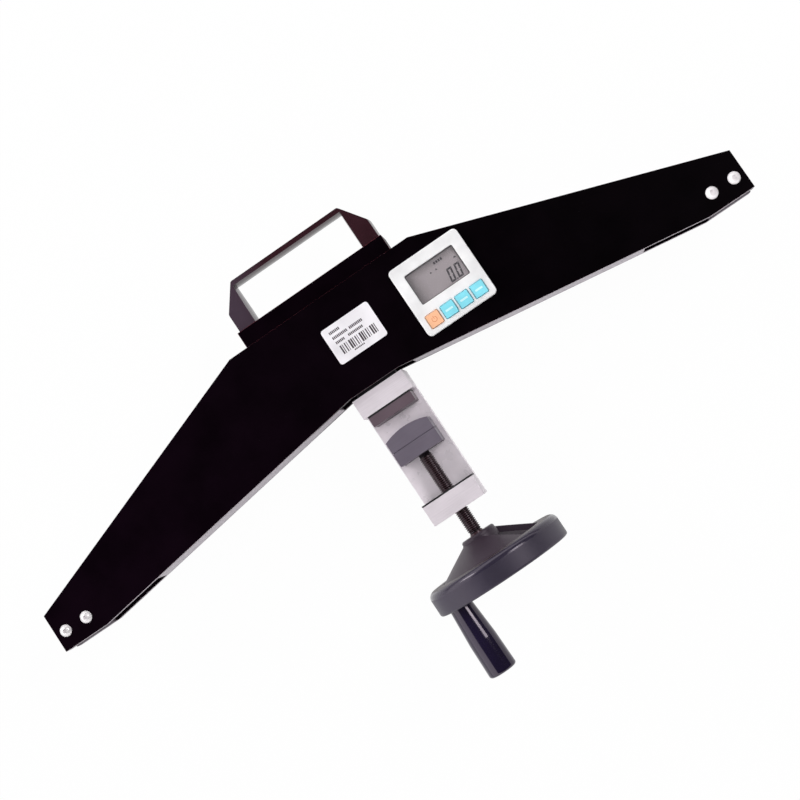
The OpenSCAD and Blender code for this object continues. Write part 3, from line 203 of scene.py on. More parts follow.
class Finish:
    """A procedural material: a Principled shader with the nodes that most finishes share"""

    def __init__(self, name, **sockets):
        self.material = bpy.data.materials.new(name)
        self.material.use_nodes = True
        tree = self.material.node_tree
        self.nodes, self.links = tree.nodes, tree.links
        self.shader = next(n for n in self.nodes if n.type == "BSDF_PRINCIPLED")
        self.place = self.nodes.new("ShaderNodeTexCoord").outputs["Object"]
        for socket, value in sockets.items():
            self.shader.inputs[socket.replace("_", " ")].default_value = value

    def link(self, output, socket):
        self.links.new(output, self.shader.inputs[socket])

    def stretched(self, scale):
        node = self.nodes.new("ShaderNodeMapping")
        node.inputs["Scale"].default_value = scale
        self.links.new(self.place, node.inputs["Vector"])
        return node.outputs["Vector"]

    def noise(self, scale, detail=3.0, stretch=None):
        node = self.nodes.new("ShaderNodeTexNoise")
        node.inputs["Scale"].default_value = scale
        node.inputs["Detail"].default_value = detail
        self.links.new(self.stretched(stretch) if stretch else self.place, node.inputs["Vector"])
        return node.outputs["Fac"]

    def cells(self, scale):
        node = self.nodes.new("ShaderNodeTexVoronoi")
        node.inputs["Scale"].default_value = scale
        self.links.new(self.place, node.inputs["Vector"])
        return node.outputs["Distance"]

    def along(self, axis, low, high, start, end):
        """Even change from one place to another along an axis"""
        node = self.nodes.new("ShaderNodeSeparateXYZ")
        self.links.new(self.place, node.inputs[0])
        return self.spread(node.outputs[axis], low, high, start, end)

    def radial(self, low, high, start, end):
        """Even change with the distance from the spindle's axis"""
        node = self.nodes.new("ShaderNodeVectorMath")
        node.operation = "LENGTH"
        self.links.new(self.stretched((1.0, 0.0, 1.0)), node.inputs[0])
        return self.spread(node.outputs["Value"], low, high, start, end)

    def facing(self, low, high, start, end):
        """Even change from faces that stand upright in the frame to its front and back faces"""
        node = self.nodes.new("ShaderNodeSeparateXYZ")
        self.links.new(self.place.node.outputs["Normal"], node.inputs[0])
        return self.spread(self.join(node.outputs["Z"], 0.0, "ABSOLUTE"), low, high, start, end)

    def edges(self, width):
        """1 along sharp edges, 0 away from them"""
        soft = self.nodes.new("ShaderNodeBevel")
        soft.samples = 6
        soft.inputs["Radius"].default_value = width
        plain = self.nodes.new("ShaderNodeNewGeometry")
        dot = self.nodes.new("ShaderNodeVectorMath")
        dot.operation = "DOT_PRODUCT"
        self.links.new(soft.outputs["Normal"], dot.inputs[0])
        self.links.new(plain.outputs["Normal"], dot.inputs[1])
        return self.spread(dot.outputs["Value"], 1.0, 0.0, 0.75, 0.98)

    def spread(self, value, low, high, start=0.3, end=0.7):
        node = self.nodes.new("ShaderNodeMapRange")
        self.links.new(value, node.inputs["Value"])
        for socket, number in zip(("From Min", "From Max", "To Min", "To Max"), (start, end, low, high)):
            node.inputs[socket].default_value = number
        return node.outputs["Result"]

    def mix(self, share, first, second):
        node = self.nodes.new("ShaderNodeMix")
        node.data_type = "RGBA"
        self.links.new(share, node.inputs["Factor"])
        ends = [s for s in node.inputs if s.type == "RGBA"]
        for socket, colour in zip(ends, (first, second)):
            if isinstance(colour, bpy.types.NodeSocket):
                self.links.new(colour, socket)
            else:
                socket.default_value = (*colour, 1.0)
        return next(s for s in node.outputs if s.type == "RGBA")

    def join(self, first, second, operation="ADD"):
        node = self.nodes.new("ShaderNodeMath")
        node.operation = operation
        for socket, value in zip(node.inputs, (first, second)):
            if isinstance(value, bpy.types.NodeSocket):
                self.links.new(value, socket)
            else:
                socket.default_value = value
        return node.outputs[0]

    def colour(self, share, first, second):
        self.link(self.mix(share, first, second), "Base Color")

    def roughness(self, value, low, high):
        self.link(self.spread(value, low, high), "Roughness")

    def bump(self, height, depth, strength=1.0):
        node = self.nodes.new("ShaderNodeBump")
        node.inputs["Strength"].default_value = strength
        node.inputs["Distance"].default_value = depth
        self.links.new(height, node.inputs["Height"])
        self.link(node.outputs["Normal"], "Normal")


def tint(colour, factor):
    return tuple(min(1.0, c * factor) for c in colour)


def powder_coat(name, colour, rough, cut_edge=None):
    """Fine-grained black coat with specks of dust, painted shade that darkens it toward +X, and a painted
    highlight on the broken edges

    Cut edges, where asked for, are light, as bare metal and as a painted grazing reflection, but for the
    middle, where painted shade darkens them back to the coat.
    """
    finish = Finish(name, Specular_IOR_Level=0.025)
    cloud = finish.noise(35.0, 4.0)
    ground = finish.mix(finish.spread(cloud, 0.0, 1.0), tint(colour, 0.8), tint(colour, 1.35))
    # Painted shade: the coat darkens toward +X, as the light falls off that way
    ground = finish.mix(finish.along("X", 0.0, 0.75, -250 * MM, 200 * MM), ground, PAINTED_SHADE_BLACK)
    dust = finish.spread(finish.cells(420.0), 1.0, 0.0, 0.03, 0.06)
    rare = finish.spread(finish.noise(260.0, 1.0), 0.0, 1.0, 0.68, 0.74)
    specks = finish.join(finish.join(dust, rare, "MULTIPLY"), 0.3, "MULTIPLY")
    ground = finish.mix(specks, ground, DUST)
    # Painted highlight on the bevels between the front faces and the sides
    off_front = finish.facing(1.0, 0.0, 0.90, 0.985)
    off_side = finish.facing(0.0, 1.0, 0.10, 0.30)
    ground = finish.mix(finish.join(off_front, off_side, "MULTIPLY"), ground, PAINTED_EDGE_HIGHLIGHT)
    if cut_edge:
        # Painted shade: the cut edges darken back to the coat in the middle, near the clamp
        right_of = finish.along("X", 0.0, 0.8, -75 * MM, -55 * MM)
        left_of = finish.along("X", 1.0, 0.0, 45 * MM, 65 * MM)
        edge = finish.mix(finish.join(right_of, left_of, "MULTIPLY"), cut_edge, colour)
        ground = finish.mix(finish.facing(1.0, 0.0, 0.15, 0.35), ground, edge)
    finish.link(ground, "Base Color")
    finish.roughness(cloud, rough - 0.06, rough + 0.08)
    finish.bump(finish.noise(2600.0, 2.0), 0.03 * MM, 0.5)
    return finish.material


def milled_metal(name, colour, rough=0.35, along=(4.0, 260.0, 260.0), metallic=0.85, grain=0.02, worn=0.25):
    """Metal with fine tool marks in one direction and bright edges"""
    finish = Finish(name, Metallic=metallic)
    marks = finish.noise(12.0, 4.0, along)
    cloud = finish.noise(60.0, 4.0)
    share = finish.join(finish.spread(marks, 0.0, 0.6), finish.spread(cloud, 0.0, 0.4))
    ground = finish.mix(share, tint(colour, 0.90), tint(colour, 1.07))
    finish.colour(finish.join(finish.edges(WORN_WIDTH), worn, "MULTIPLY"), ground, tint(colour, 1.6))
    finish.roughness(cloud, rough - 0.07, rough + 0.09)
    finish.bump(marks, grain * MM, 0.5)
    return finish.material


def moulded_plastic(name, colour, rough=0.45, grain=0.03, grain_scale=1800.0, **sockets):
    """Moulded plastic with a fine grain and slight clouding"""
    finish = Finish(name, **sockets)
    cloud = finish.noise(45.0, 4.0)
    finish.colour(finish.spread(cloud, 0.0, 1.0), tint(colour, 0.88), tint(colour, 1.12))
    finish.roughness(cloud, rough - 0.05, rough + 0.06)
    finish.bump(finish.noise(grain_scale, 3.0), grain * MM, 0.5)
    return finish.material


def dress(finish, *nodes, edge=0.0, segments=2):
    """Gives CAD nodes a finish, and breaks their edges where edge is a width"""
    for node in nodes:
        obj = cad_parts[node]
        obj.data.materials.clear()
        obj.data.materials.append(finish)
        if not edge:
            continue
        weld = obj.modifiers.new("joined_faces", "WELD")
        weld.merge_threshold = WELD_REACH
        flats = obj.modifiers.new("plain_flats", "DECIMATE")
        flats.decimate_type = "DISSOLVE"
        flats.angle_limit = FLAT_ANGLE
        bevel = obj.modifiers.new("broken_edges", "BEVEL")
        bevel.width = edge
        bevel.segments = segments
        bevel.limit_method = "ANGLE"
        bevel.angle_limit = EDGE_ANGLE
        bevel.miter_outer = "MITER_ARC"
        obj.modifiers.new("flat_shading", "WEIGHTED_NORMAL")


def make_piece(name, bm, finish, body, replaces=(), sharp=35.0):
    """Turns a bmesh into a piece that rides on a body"""
    bmesh.ops.recalc_face_normals(bm, faces=bm.faces)
    mesh = bpy.data.meshes.new(name)
    bm.to_mesh(mesh)
    bm.free()
    mesh.shade_smooth()
    mesh.set_sharp_from_angle(angle=math.radians(sharp))
    mesh.materials.append(finish)
    piece = bpy.data.objects.new(name, mesh)
    bpy.context.scene.collection.objects.link(piece)
    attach(piece, body)
    if replaces:
        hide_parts(*replaces)
    return piece


def add_slab(bm, outline, low, high):
    """Prism over a flat outline of (x, y) points"""
    bottom = [bm.verts.new((x, y, low)) for x, y in outline]
    top = [bm.verts.new((x, y, high)) for x, y in outline]
    bm.faces.new(bottom[::-1])
    bm.faces.new(top)
    for i in range(len(outline)):
        j = (i + 1) % len(outline)
        bm.faces.new((bottom[i], bottom[j], top[j], top[i]))


def skin(bm, *rings):
    """Faces between closed rings of equal length"""
    for a, b in zip(rings, rings[1:]):
        for i in range(len(a)):
            bm.faces.new((a[i - 1], a[i], b[i], b[i - 1]))


def break_edges(bm, width, angle=30.0):
    """Cuts a flat along every sharp edge"""
    edges = [e for e in bm.edges if e.is_manifold and e.calc_face_angle() > math.radians(angle)]
    bmesh.ops.bevel(bm, geom=edges, offset=width, segments=1, profile=0.5, affect="EDGES",
                    clamp_overlap=True)


def rounded_outline(x, y, width, height, radius, steps=5):
    """Points of a rectangle with round corners about a middle"""
    points = []
    for cx, cy, start in ((1, 1, 0), (-1, 1, 90), (-1, -1, 180), (1, -1, 270)):
        for i in range(steps + 1):
            a = math.radians(start + 90 * i / steps)
            points.append((x + cx * (width / 2 - radius) + radius * math.cos(a),
                           y + cy * (height / 2 - radius) + radius * math.sin(a)))
    return points


def corners(left, top, right, foot):
    """Corners of a plain rectangle, in order"""
    return (left, top), (right, top), (right, foot), (left, foot)


class METER_OT_body(bpy.types.Operator):
    """Coats the plates and finishes the bars, rope blocks and base bar between them"""

    bl_idname = "meter.body"
    bl_label = "Body"

    def execute(self, context):
        colours, details = context.scene.meter_finishes, context.scene.meter_details
        coat = powder_coat("plate_powder_coat", colours.plate, 0.42, CUT_EDGE)
        dress(coat, "front_plate", "rear_plate", "battery_door", edge=details.plate_edge)
        bare = milled_metal("bare_bar", tint(colours.bar, 0.85), 0.5, metallic=0.2)
        dress(bare, "left_lower_bar", "right_lower_bar", "left_upper_bar", "right_upper_bar",
              edge=details.plate_edge)
        ground = milled_metal("ground_block", (0.075, 0.058, 0.075), 0.5, metallic=0.2)
        dress(ground, "left_rope_block", "right_rope_block", edge=details.plate_edge)
        gloss = powder_coat("base_bar_coat", tint(colours.plate, 1.1), 0.34)
        dress(gloss, "handle_base", edge=details.block_edge)
        return {"FINISHED"}


class METER_OT_fasteners(bpy.types.Operator):
    """Finishes the bright body screws and the dark inner bolts"""

    bl_idname = "meter.fasteners"
    bl_label = "Fasteners"

    def execute(self, context):
        zinc = milled_metal("bright_zinc", (0.90, 0.86, 0.88), 0.30, (90.0, 90.0, 90.0), 0.2, worn=0.1)
        dress(zinc, "end_screws", "rear_end_screws", "tie_screws", "door_screws")
        oiled = milled_metal("oiled_steel", (0.12, 0.11, 0.125), 0.36, (90.0, 90.0, 90.0), 0.6)
        dress(oiled, "handle_bolts", "bridge_bolts", "neck_bolts", "clamp_screws", "anvil_screws",
              "jaw_screws", "journal_pins", "wheel_key", "wheel_washer", "wheel_screw", "grip_bolt",
              "board_screws")
        return {"FINISHED"}


class METER_OT_carry_handle(bpy.types.Operator):
    """Builds the moulded carry handle with its rounded edges"""

    bl_idname = "meter.carry_handle"
    bl_label = "Carry Handle"

    LAYERS = (1.0, 0.66, 0.33, 0.0, -0.33, -0.66, -1.0)
    NEAR = 2.0 * MM
    SHARP = math.radians(35)
    # Colour of the painted light on the left foot
    PAINTED_LIGHT_FOOT = (0.052, 0.034, 0.050)
    WORN = (0.09, 0.07, 0.085)

    def execute(self, context):
        colours, details = context.scene.meter_finishes, context.scene.meter_details
        low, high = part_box("carry_handle")
        fold = low.y + details.handle_side
        hand, hand_top = details.hand_width / 2, high.y - details.bar_height - details.bar_crown / 2
        right = [(high.x, low.y, -1.0, 0.0)] + self.crown(high, fold, details)
        left = [(-x, y, -dx, dy) for x, y, dx, dy in reversed(right)]
        inner = [(hand, hand_top, 1.0, 1.0), (hand, fold, 1.0, 0.0), (hand, low.y, 1.0, 0.0)]
        outline = right + left + [(-x, y, -dx, dy) for x, y, dx, dy in reversed(inner)] + inner

        def depth(y):
            share = max(0.0, (y - fold) / (high.y - fold))
            return high.z + (details.bar_depth / 2 - high.z) * share

        bm = bmesh.new()
        layers = []
        for t in self.LAYERS:
            dip = details.bar_crown * t * t
            layers.append([bm.verts.new((x + dx * dip, y + dy * dip, t * depth(y + dy * dip)))
                           for x, y, dx, dy in outline])
        skin(bm, *layers)
        last = len(right) * 2 - 2
        for layer in (layers[0], layers[-1]):
            bm.faces.new((layer[0], layer[1], layer[-2], layer[-1]))
            bm.faces.new((layer[last], layer[last + 1], layer[last + 2], layer[last + 3]))
            bm.faces.new(layer[1:last + 1] + layer[last + 3:-1])
        self.weigh_edges(bm, low, hand, hand_top)
        piece = make_piece("handle_strap", bm, self.finish(colours.handle), "frame",
                           ("carry_handle",), 60.0)
        bevel = piece.modifiers.new("moulded_edges", "BEVEL")
        bevel.width = details.bar_edge
        bevel.segments = 5
        bevel.limit_method = "WEIGHT"
        piece.modifiers.new("flat_shading", "WEIGHTED_NORMAL").keep_sharp = True
        return {"FINISHED"}

    @staticmethod
    def crown(high, fold, details, steps=6):
        """Right half of the outline above the fold: points on round corners, with the way into the strap"""
        radius = details.handle_round
        shoulder = Vector((high.x - radius, fold))
        crest = Vector((details.handle_top / 2, high.y - radius))
        slope = math.atan2(shoulder.x - crest.x, crest.y - shoulder.y)
        points = []
        for centre, first, last in ((shoulder, 0.0, slope), (crest, slope, math.pi / 2)):
            for i in range(steps + 1):
                a = first + (last - first) * i / steps
                c, s = math.cos(a), math.sin(a)
                points.append((centre.x + radius * c, centre.y + radius * s, -c, 0.0))
        return points

    def weigh_edges(self, bm, low, hand, hand_top):
        """Full edge radius under the hand bar, less on the other edges, none at the feet"""
        layer = bm.edges.layers.float.new("bevel_weight_edge")
        for edge in bm.edges:
            a, b = (v.co for v in edge.verts)
            if max(a.y, b.y) < low.y + self.NEAR or edge.calc_face_angle(0.0) < self.SHARP:
                continue
            inside = max(abs(a.x), abs(b.x)) < hand + self.NEAR and max(a.y, b.y) < hand_top + self.NEAR
            under_bar = inside and min(a.y, b.y) > hand_top - self.NEAR
            edge[layer] = 1.0 if under_bar else 0.5 if inside else 0.7

    def finish(self, colour):
        """Satin moulded plastic, with painted light that makes it paler toward the left foot"""
        plastic = Finish("handle_plastic", Specular_IOR_Level=0.5, Specular_Tint=(1.0, 0.84, 0.91, 1.0))
        cloud = plastic.noise(45.0, 4.0)
        ground = plastic.mix(plastic.spread(cloud, 0.0, 1.0), tint(colour, 0.85), tint(colour, 1.15))
        # Painted light: the plastic turns paler toward the left foot, as if lit from the left
        pale = plastic.along("X", 1.0, 0.0, -60 * MM, -20 * MM)
        ground = plastic.mix(pale, ground, self.PAINTED_LIGHT_FOOT)
        plastic.colour(plastic.join(plastic.edges(1.0 * MM), 0.25, "MULTIPLY"), ground, self.WORN)
        plastic.roughness(cloud, 0.18, 0.26)
        plastic.bump(plastic.noise(1500.0, 3.0), 0.03 * MM, 0.4)
        return plastic.material


class METER_OT_display(bpy.types.Operator):
    """Builds the display: bezel, pane, panel with its reading, and keys"""

    bl_idname = "meter.display"
    bl_label = "Display"

    KEYS = ("power_key", "key_one", "key_two", "key_three")
    KEY_EDGE = 0.7 * MM
    # Growth over the piece inside, corner radius and lip of the bezel's openings
    WINDOW = (-1.6 * MM, 1.4 * MM, 0.4 * MM)
    KEY_HOLE = (-0.4 * MM, 1.0 * MM, 0.5 * MM)
    RIM_STEPS = 5
    # Width of the full painted shadow along each rim of the window
    RIM_SHADE = 1.2 * MM
    PANE_CORNER = 0.6 * MM
    PANE_GAP = 0.15 * MM
    PANE_EDGE = 0.1 * MM
    # Layout of the reading in mm, from a corner a little inside the panel's upper left
    PANEL_INSET = 0.8 * MM
    SEGMENT_HEIGHT = 0.05 * MM
    DIGITS_LEFT = (29.9, 37.1)
    DIGITS_TOP = 14.2
    STROKE = 1.55
    STROKE_GAP = 0.08
    POINT = corners(35.4, 25.2, 36.5, 26.3)
    POINT_FOOT = 26.3
    POINTERS = ((20.1, 0.9), (25.3, 1.0), (43.4, 1.4))
    POINTER_FOOT, POINTER_TIP = 10.2, 8.6
    BLOCKS = (26.0, 28.2, 30.4, 32.6)
    BLOCK_WIDTH, BLOCK_TOP, BLOCK_FOOT = 1.6, 3.4, 5.6
    # Print on the keys: width, height and corner of a bar, radii of the power sign
    PRINT_HEIGHT = 0.04 * MM
    KEY_BAR = (7.0 * MM, 1.7 * MM, 0.5 * MM)
    SIGN_RADII = (2.4 * MM, 1.9 * MM)
    SIGN_STEPS = 24
    SIGN_BAR = corners(-0.25, 0.3, 0.25, 2.9)

    def execute(self, context):
        colours, details = context.scene.meter_finishes, context.scene.meter_details
        white = moulded_plastic("bezel_plastic", colours.bezel, 0.36, 0.012)
        self.bezel(white, details)
        orange = moulded_plastic("power_key_plastic", colours.power_key, 0.34, 0.01)
        dress(orange, "power_key", edge=self.KEY_EDGE, segments=3)
        cyan = moulded_plastic("key_plastic", colours.other_keys, 0.34, 0.01)
        dress(cyan, *self.KEYS[1:], edge=self.KEY_EDGE, segments=3)
        dress(self.panel_finish(colours.display), "lcd_panel")
        self.pane()
        self.reading(details)
        self.key_marks()
        return {"FINISHED"}

    def bezel(self, finish, details):
        """Frame with a rounded rim, a window and four key holes"""
        low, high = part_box("display_bezel")
        seat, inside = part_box("front_plate")[1].z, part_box("display_window")[1].z
        middle, size = (low + high) / 2, high - low
        bm = bmesh.new()

        def ring(place, width, height, radius, z):
            outline = rounded_outline(place.x, place.y, width, height, radius)
            return [bm.verts.new((x, y, z)) for x, y in outline]

        edge, lap = details.bezel_edge, 2 * details.bezel_lap
        rim = [ring(middle, size.x, size.y, details.bezel_corner, seat)]
        for i in range(self.RIM_STEPS + 1):
            a = math.radians(90 * i / self.RIM_STEPS)
            inset = edge * (1 - math.cos(a))
            rim.append(ring(middle, size.x - 2 * inset, size.y - 2 * inset, details.bezel_corner - inset,
                            high.z - edge * (1 - math.sin(a))))
        foot = [ring(middle, size.x - lap, size.y - lap, details.bezel_corner - lap / 2, z)
                for z in (seat, inside)]
        skin(bm, *rim)
        skin(bm, rim[0], *foot)
        front, rear = [rim[-1]], [foot[-1]]
        for node in ("lcd_panel", *self.KEYS):
            more, radius, lip = self.KEY_HOLE if node in self.KEYS else self.WINDOW
            a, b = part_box(node)
            place, hole = (a + b) / 2, b - a
            wall = [ring(place, hole.x + more + 2 * out, hole.y + more + 2 * out, radius + out, z)
                    for out, z in ((lip, high.z), (0.0, high.z - lip), (0.0, inside))]
            skin(bm, *wall)
            front.append(wall[0])
            rear.append(wall[-1])
        for loops in (front, rear):
            edges = [bm.edges.get((loop[i - 1], loop[i])) for loop in loops for i in range(len(loop))]
            bmesh.ops.triangle_fill(bm, use_beauty=True, edges=edges)
        make_piece("bezel_frame", bm, finish, "frame", ("display_bezel",), 25.0)

    def panel_finish(self, colour):
        """Grey display ground, with painted shade toward its left side and painted shadow lines of the bezel
        along the rim of the window
        """
        finish = Finish("display_ground", Specular_IOR_Level=0.25)
        cloud = finish.noise(60.0, 3.0)
        low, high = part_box("lcd_panel")
        # Painted shade toward the left side, then painted shadow lines of the bezel along each rim
        shade = finish.along("X", 0.45, 0.0, low.x, low.x + 14 * MM)
        rims = (("X", low.x, 1.9, 0.8), ("X", high.x, -2.3, 1.0), ("Y", low.y, 2.3, 1.0),
                ("Y", high.y, -2.8, 1.0), ("Y", high.y, -9.0, 0.40))
        for axis, rim, reach, depth in rims:
            start = rim + math.copysign(self.RIM_SHADE, reach)
            line = finish.along(axis, depth, 0.0, start, rim + reach * MM)
            shade = finish.join(shade, line, "MAXIMUM")
        ground = finish.mix(finish.spread(cloud, 0.0, 1.0), tint(colour, 0.95), tint(colour, 1.06))
        finish.colour(shade, ground, tint(colour, 0.15))
        finish.roughness(cloud, 0.38, 0.48)
        finish.bump(finish.noise(2500.0, 1.0), 0.004 * MM, 0.3)
        return finish.material

    def pane(self):
        """Clear pane over the panel"""
        low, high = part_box("display_window")
        glass = Finish("pane_clear", Roughness=0.06, Alpha=0.05)
        smear = glass.noise(90.0, 3.0)
        glass.colour(glass.spread(smear, 0.0, 1.0), (0.50, 0.50, 0.52), (0.62, 0.62, 0.64))
        glass.roughness(smear, 0.04, 0.09)
        bm = bmesh.new()
        middle = (low + high) / 2
        add_slab(bm, rounded_outline(middle.x, middle.y, high.x - low.x, high.y - low.y, self.PANE_CORNER),
                 low.z + self.PANE_GAP, high.z)
        break_edges(bm, self.PANE_EDGE)
        make_piece("display_pane", bm, glass.material, "frame", ("display_window",))

    def reading(self, details):
        """Two leaning digits with a point, and a row of small marks"""
        ink = Finish("segment_ink", Roughness=0.5)
        cloud = ink.noise(400.0, 2.0)
        ink.colour(ink.spread(cloud, 0.0, 1.0), (0.016, 0.011, 0.017), (0.030, 0.022, 0.032))
        low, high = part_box("lcd_panel")
        left, top = low.x + self.PANEL_INSET, high.y - self.PANEL_INSET
        base, crest = high.z, high.z + self.SEGMENT_HEIGHT
        bm = bmesh.new()

        def mark(points):
            add_slab(bm, [(left + x * MM, top - y * MM) for x, y in points], base, crest)

        for digit_left in self.DIGITS_LEFT:
            self.digit(mark, digit_left, self.DIGITS_TOP, details)
        mark(self.leaning(self.POINT, self.POINT_FOOT))
        for x, wide in self.POINTERS:
            mark(((x - wide, self.POINTER_FOOT), (x + wide, self.POINTER_FOOT), (x, self.POINTER_TIP)))
        for x in self.BLOCKS:
            mark(corners(x, self.BLOCK_TOP, x + self.BLOCK_WIDTH, self.BLOCK_FOOT))
        make_piece("display_reading", bm, ink.material, "frame")

    @staticmethod
    def leaning(points, foot, lean=0.16):
        """Points slanted about their foot"""
        return [(x + (foot - y) * lean, y) for x, y in points]

    def digit(self, mark, x, y, details):
        """The six strokes of a nought"""
        width, height = details.digit_width / MM, details.digit_height / MM
        thick, gap = self.STROKE, self.STROKE_GAP
        right, middle, foot = x + width, y + height / 2, y + height
        near, far = x + thick, right - thick
        strokes = (
            ((x + gap, y), (right - gap, y), (far - gap, y + thick), (near + gap, y + thick)),
            ((right, y + gap), (right, middle - gap), (right - thick / 2, middle - gap),
             (far, middle - thick / 2), (far, y + thick + gap)),
            ((right, middle + gap), (right, foot - gap), (far, foot - thick - gap),
             (far, middle + thick / 2), (right - thick / 2, middle + gap)),
            ((x + gap, foot), (near + gap, foot - thick), (far - gap, foot - thick), (right - gap, foot)),
            ((x, middle + gap), (x + thick / 2, middle + gap), (near, middle + thick / 2),
             (near, foot - thick - gap), (x, foot - gap)),
            ((x, y + gap), (near, y + thick + gap), (near, middle - thick / 2),
             (x + thick / 2, middle - gap), (x, middle - gap)),
        )
        for stroke in strokes:
            mark(self.leaning(stroke, foot))

    def key_marks(self):
        """Plain printed marks: a power sign and a bar on each other key"""
        pale = moulded_plastic("key_print", (0.56, 0.88, 0.95), 0.4, 0.005)
        for key in self.KEYS[1:]:
            low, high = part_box(key)
            middle = (low + high) / 2
            bm = bmesh.new()
            bar = rounded_outline(middle.x, middle.y, *self.KEY_BAR)
            add_slab(bm, bar, high.z, high.z + self.PRINT_HEIGHT)
            make_piece(key + "_mark", bm, pale, key)
        red = moulded_plastic("power_print", (0.66, 0.22, 0.10), 0.4, 0.005)
        low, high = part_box("power_key")
        middle = (low + high) / 2
        bm = bmesh.new()
        arc = [math.radians(120 + 300 * i / self.SIGN_STEPS) for i in range(self.SIGN_STEPS + 1)]
        outer, inner = ([(middle.x + radius * math.cos(a), middle.y + radius * math.sin(a)) for a in arc]
                        for radius in self.SIGN_RADII)
        outlines = [(outer[i], outer[i + 1], inner[i + 1], inner[i]) for i in range(self.SIGN_STEPS)]
        outlines.append([(middle.x + x * MM, middle.y + y * MM) for x, y in self.SIGN_BAR])
        for outline in outlines:
            add_slab(bm, outline, high.z, high.z + self.PRINT_HEIGHT)
        make_piece("power_key_mark", bm, red, "power_key")


class METER_OT_label(bpy.types.Operator):
    """Finishes the film label and prints plain blocks and a hatch of bars on it"""

    bl_idname = "meter.label"
    bl_label = "Label"

    # Rows of blocks in mm: top, height, and the first and last place of each run
    ROWS = ((4.5, 2.4, ((5.7, 16.7),)), (9.4, 2.4, ((6.0, 20.5), (22.4, 36.3))),
            (14.1, 2.2, ((6.3, 15.6), (18.6, 33.9))), (27.6, 1.3, ((16.5, 27.5),)))
    BLOCK_WIDTH, BLOCK_STEP = 1.0, 1.45
    BAR_WIDTHS = (1.3, 0.7, 1.0, 0.5, 1.5)
    BAR_COUNT, BAR_STEP = 17, 2.1
    BARS_LEFT, BARS_TOP, BAR_HEIGHT = 7.2, 18.6, 8.0
    INK_HEIGHT = 0.03 * MM

    def execute(self, context):
        film = moulded_plastic("label_film", (0.84, 0.81, 0.85), 0.42, 0.006)
        dress(film, "label")
        ink = moulded_plastic("label_ink", (0.045, 0.028, 0.042), 0.5, 0.004)
        low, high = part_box("label")
        bm = bmesh.new()

        def block(x, y, width, height):
            outline = [(low.x + a * MM, high.y - b * MM) for a, b in corners(x, y, x + width, y + height)]
            add_slab(bm, outline, high.z, high.z + self.INK_HEIGHT)

        for y, height, words in self.ROWS:
            for first, last in words:
                for i in range(int((last - first) / self.BLOCK_STEP)):
                    block(first + self.BLOCK_STEP * i, y, self.BLOCK_WIDTH, height)
        for i in range(self.BAR_COUNT):
            width = self.BAR_WIDTHS[i % len(self.BAR_WIDTHS)]
            block(self.BARS_LEFT + self.BAR_STEP * i, self.BARS_TOP, width, self.BAR_HEIGHT)
        make_piece("label_print", bm, ink, "frame")
        return {"FINISHED"}


class METER_OT_clamp(bpy.types.Operator):
    """Finishes the clamp blocks, back plate, anvil and pads"""

    bl_idname = "meter.clamp"
    bl_label = "Clamp"

    def execute(self, context):
        colours, details = context.scene.meter_finishes, context.scene.meter_details
        silver = milled_metal("clamp_anodised", colours.clamp, 0.46, (4.0, 120.0, 120.0), 0.12, 0.01, 0.5)
        dress(silver, "clamp_upper_block", "clamp_lower_block", edge=details.block_edge)
        dress(self.back_plate_finish(colours.clamp), "clamp_back_plate", edge=details.block_edge)
        steel = milled_metal("ground_steel", colours.jaw, 0.44, (4.0, 160.0, 160.0), 0.2, 0.01, 0.5)
        dress(steel, "jaw_shoe", "jaw_base", edge=details.block_edge)
        warm = milled_metal("warm_steel", (0.128, 0.088, 0.110), 0.44, (4.0, 160.0, 160.0), 0.2, 0.01, 0.5)
        dress(warm, "anvil", edge=details.block_edge)
        # The black shim over the anvil is a dark sheet standing in for the shadow gap under the upper block;
        # the stop pad is a black rubber pad
        rubber = moulded_plastic("pad_and_shadow_shim_rubber", (0.008, 0.007, 0.009), 0.6, 0.03)
        dress(rubber, "anvil_shim", "stop_pad")
        bronze = milled_metal("turned_bronze", (0.42, 0.24, 0.07), 0.3)
        dress(bronze, "spindle_nut")
        black = milled_metal("black_oxide", (0.004, 0.003, 0.004), 0.55, (90.0, 90.0, 90.0), 0.2, worn=0.05)
        dress(black, "cross_screw")
        return {"FINISHED"}

    def back_plate_finish(self, colour):
        """Rubbed silver face with cloudy stains, tinted lighter than the blocks as painted light against the
        recess's shade
        """
        finish = Finish("back_plate_rubbed", Metallic=0.12)
        cloud = finish.noise(34.0, 4.0)
        stains = finish.noise(90.0, 5.0)
        broad = finish.spread(cloud, 0.0, 0.6, 0.35, 0.65)
        share = finish.join(broad, finish.spread(stains, 0.0, 0.4, 0.35, 0.65))
        # Painted light: the face is a lighter copy of the blocks' silver, lifting the shade of the recess;
        # the stains are its own
        finish.colour(share, tint(colour, 1.10), tint(colour, 1.30))
        finish.roughness(stains, 0.24, 0.36)
        finish.bump(finish.noise(9.0, 4.0, (6.0, 180.0, 180.0)), 0.012 * MM, 0.4)
        return finish.material


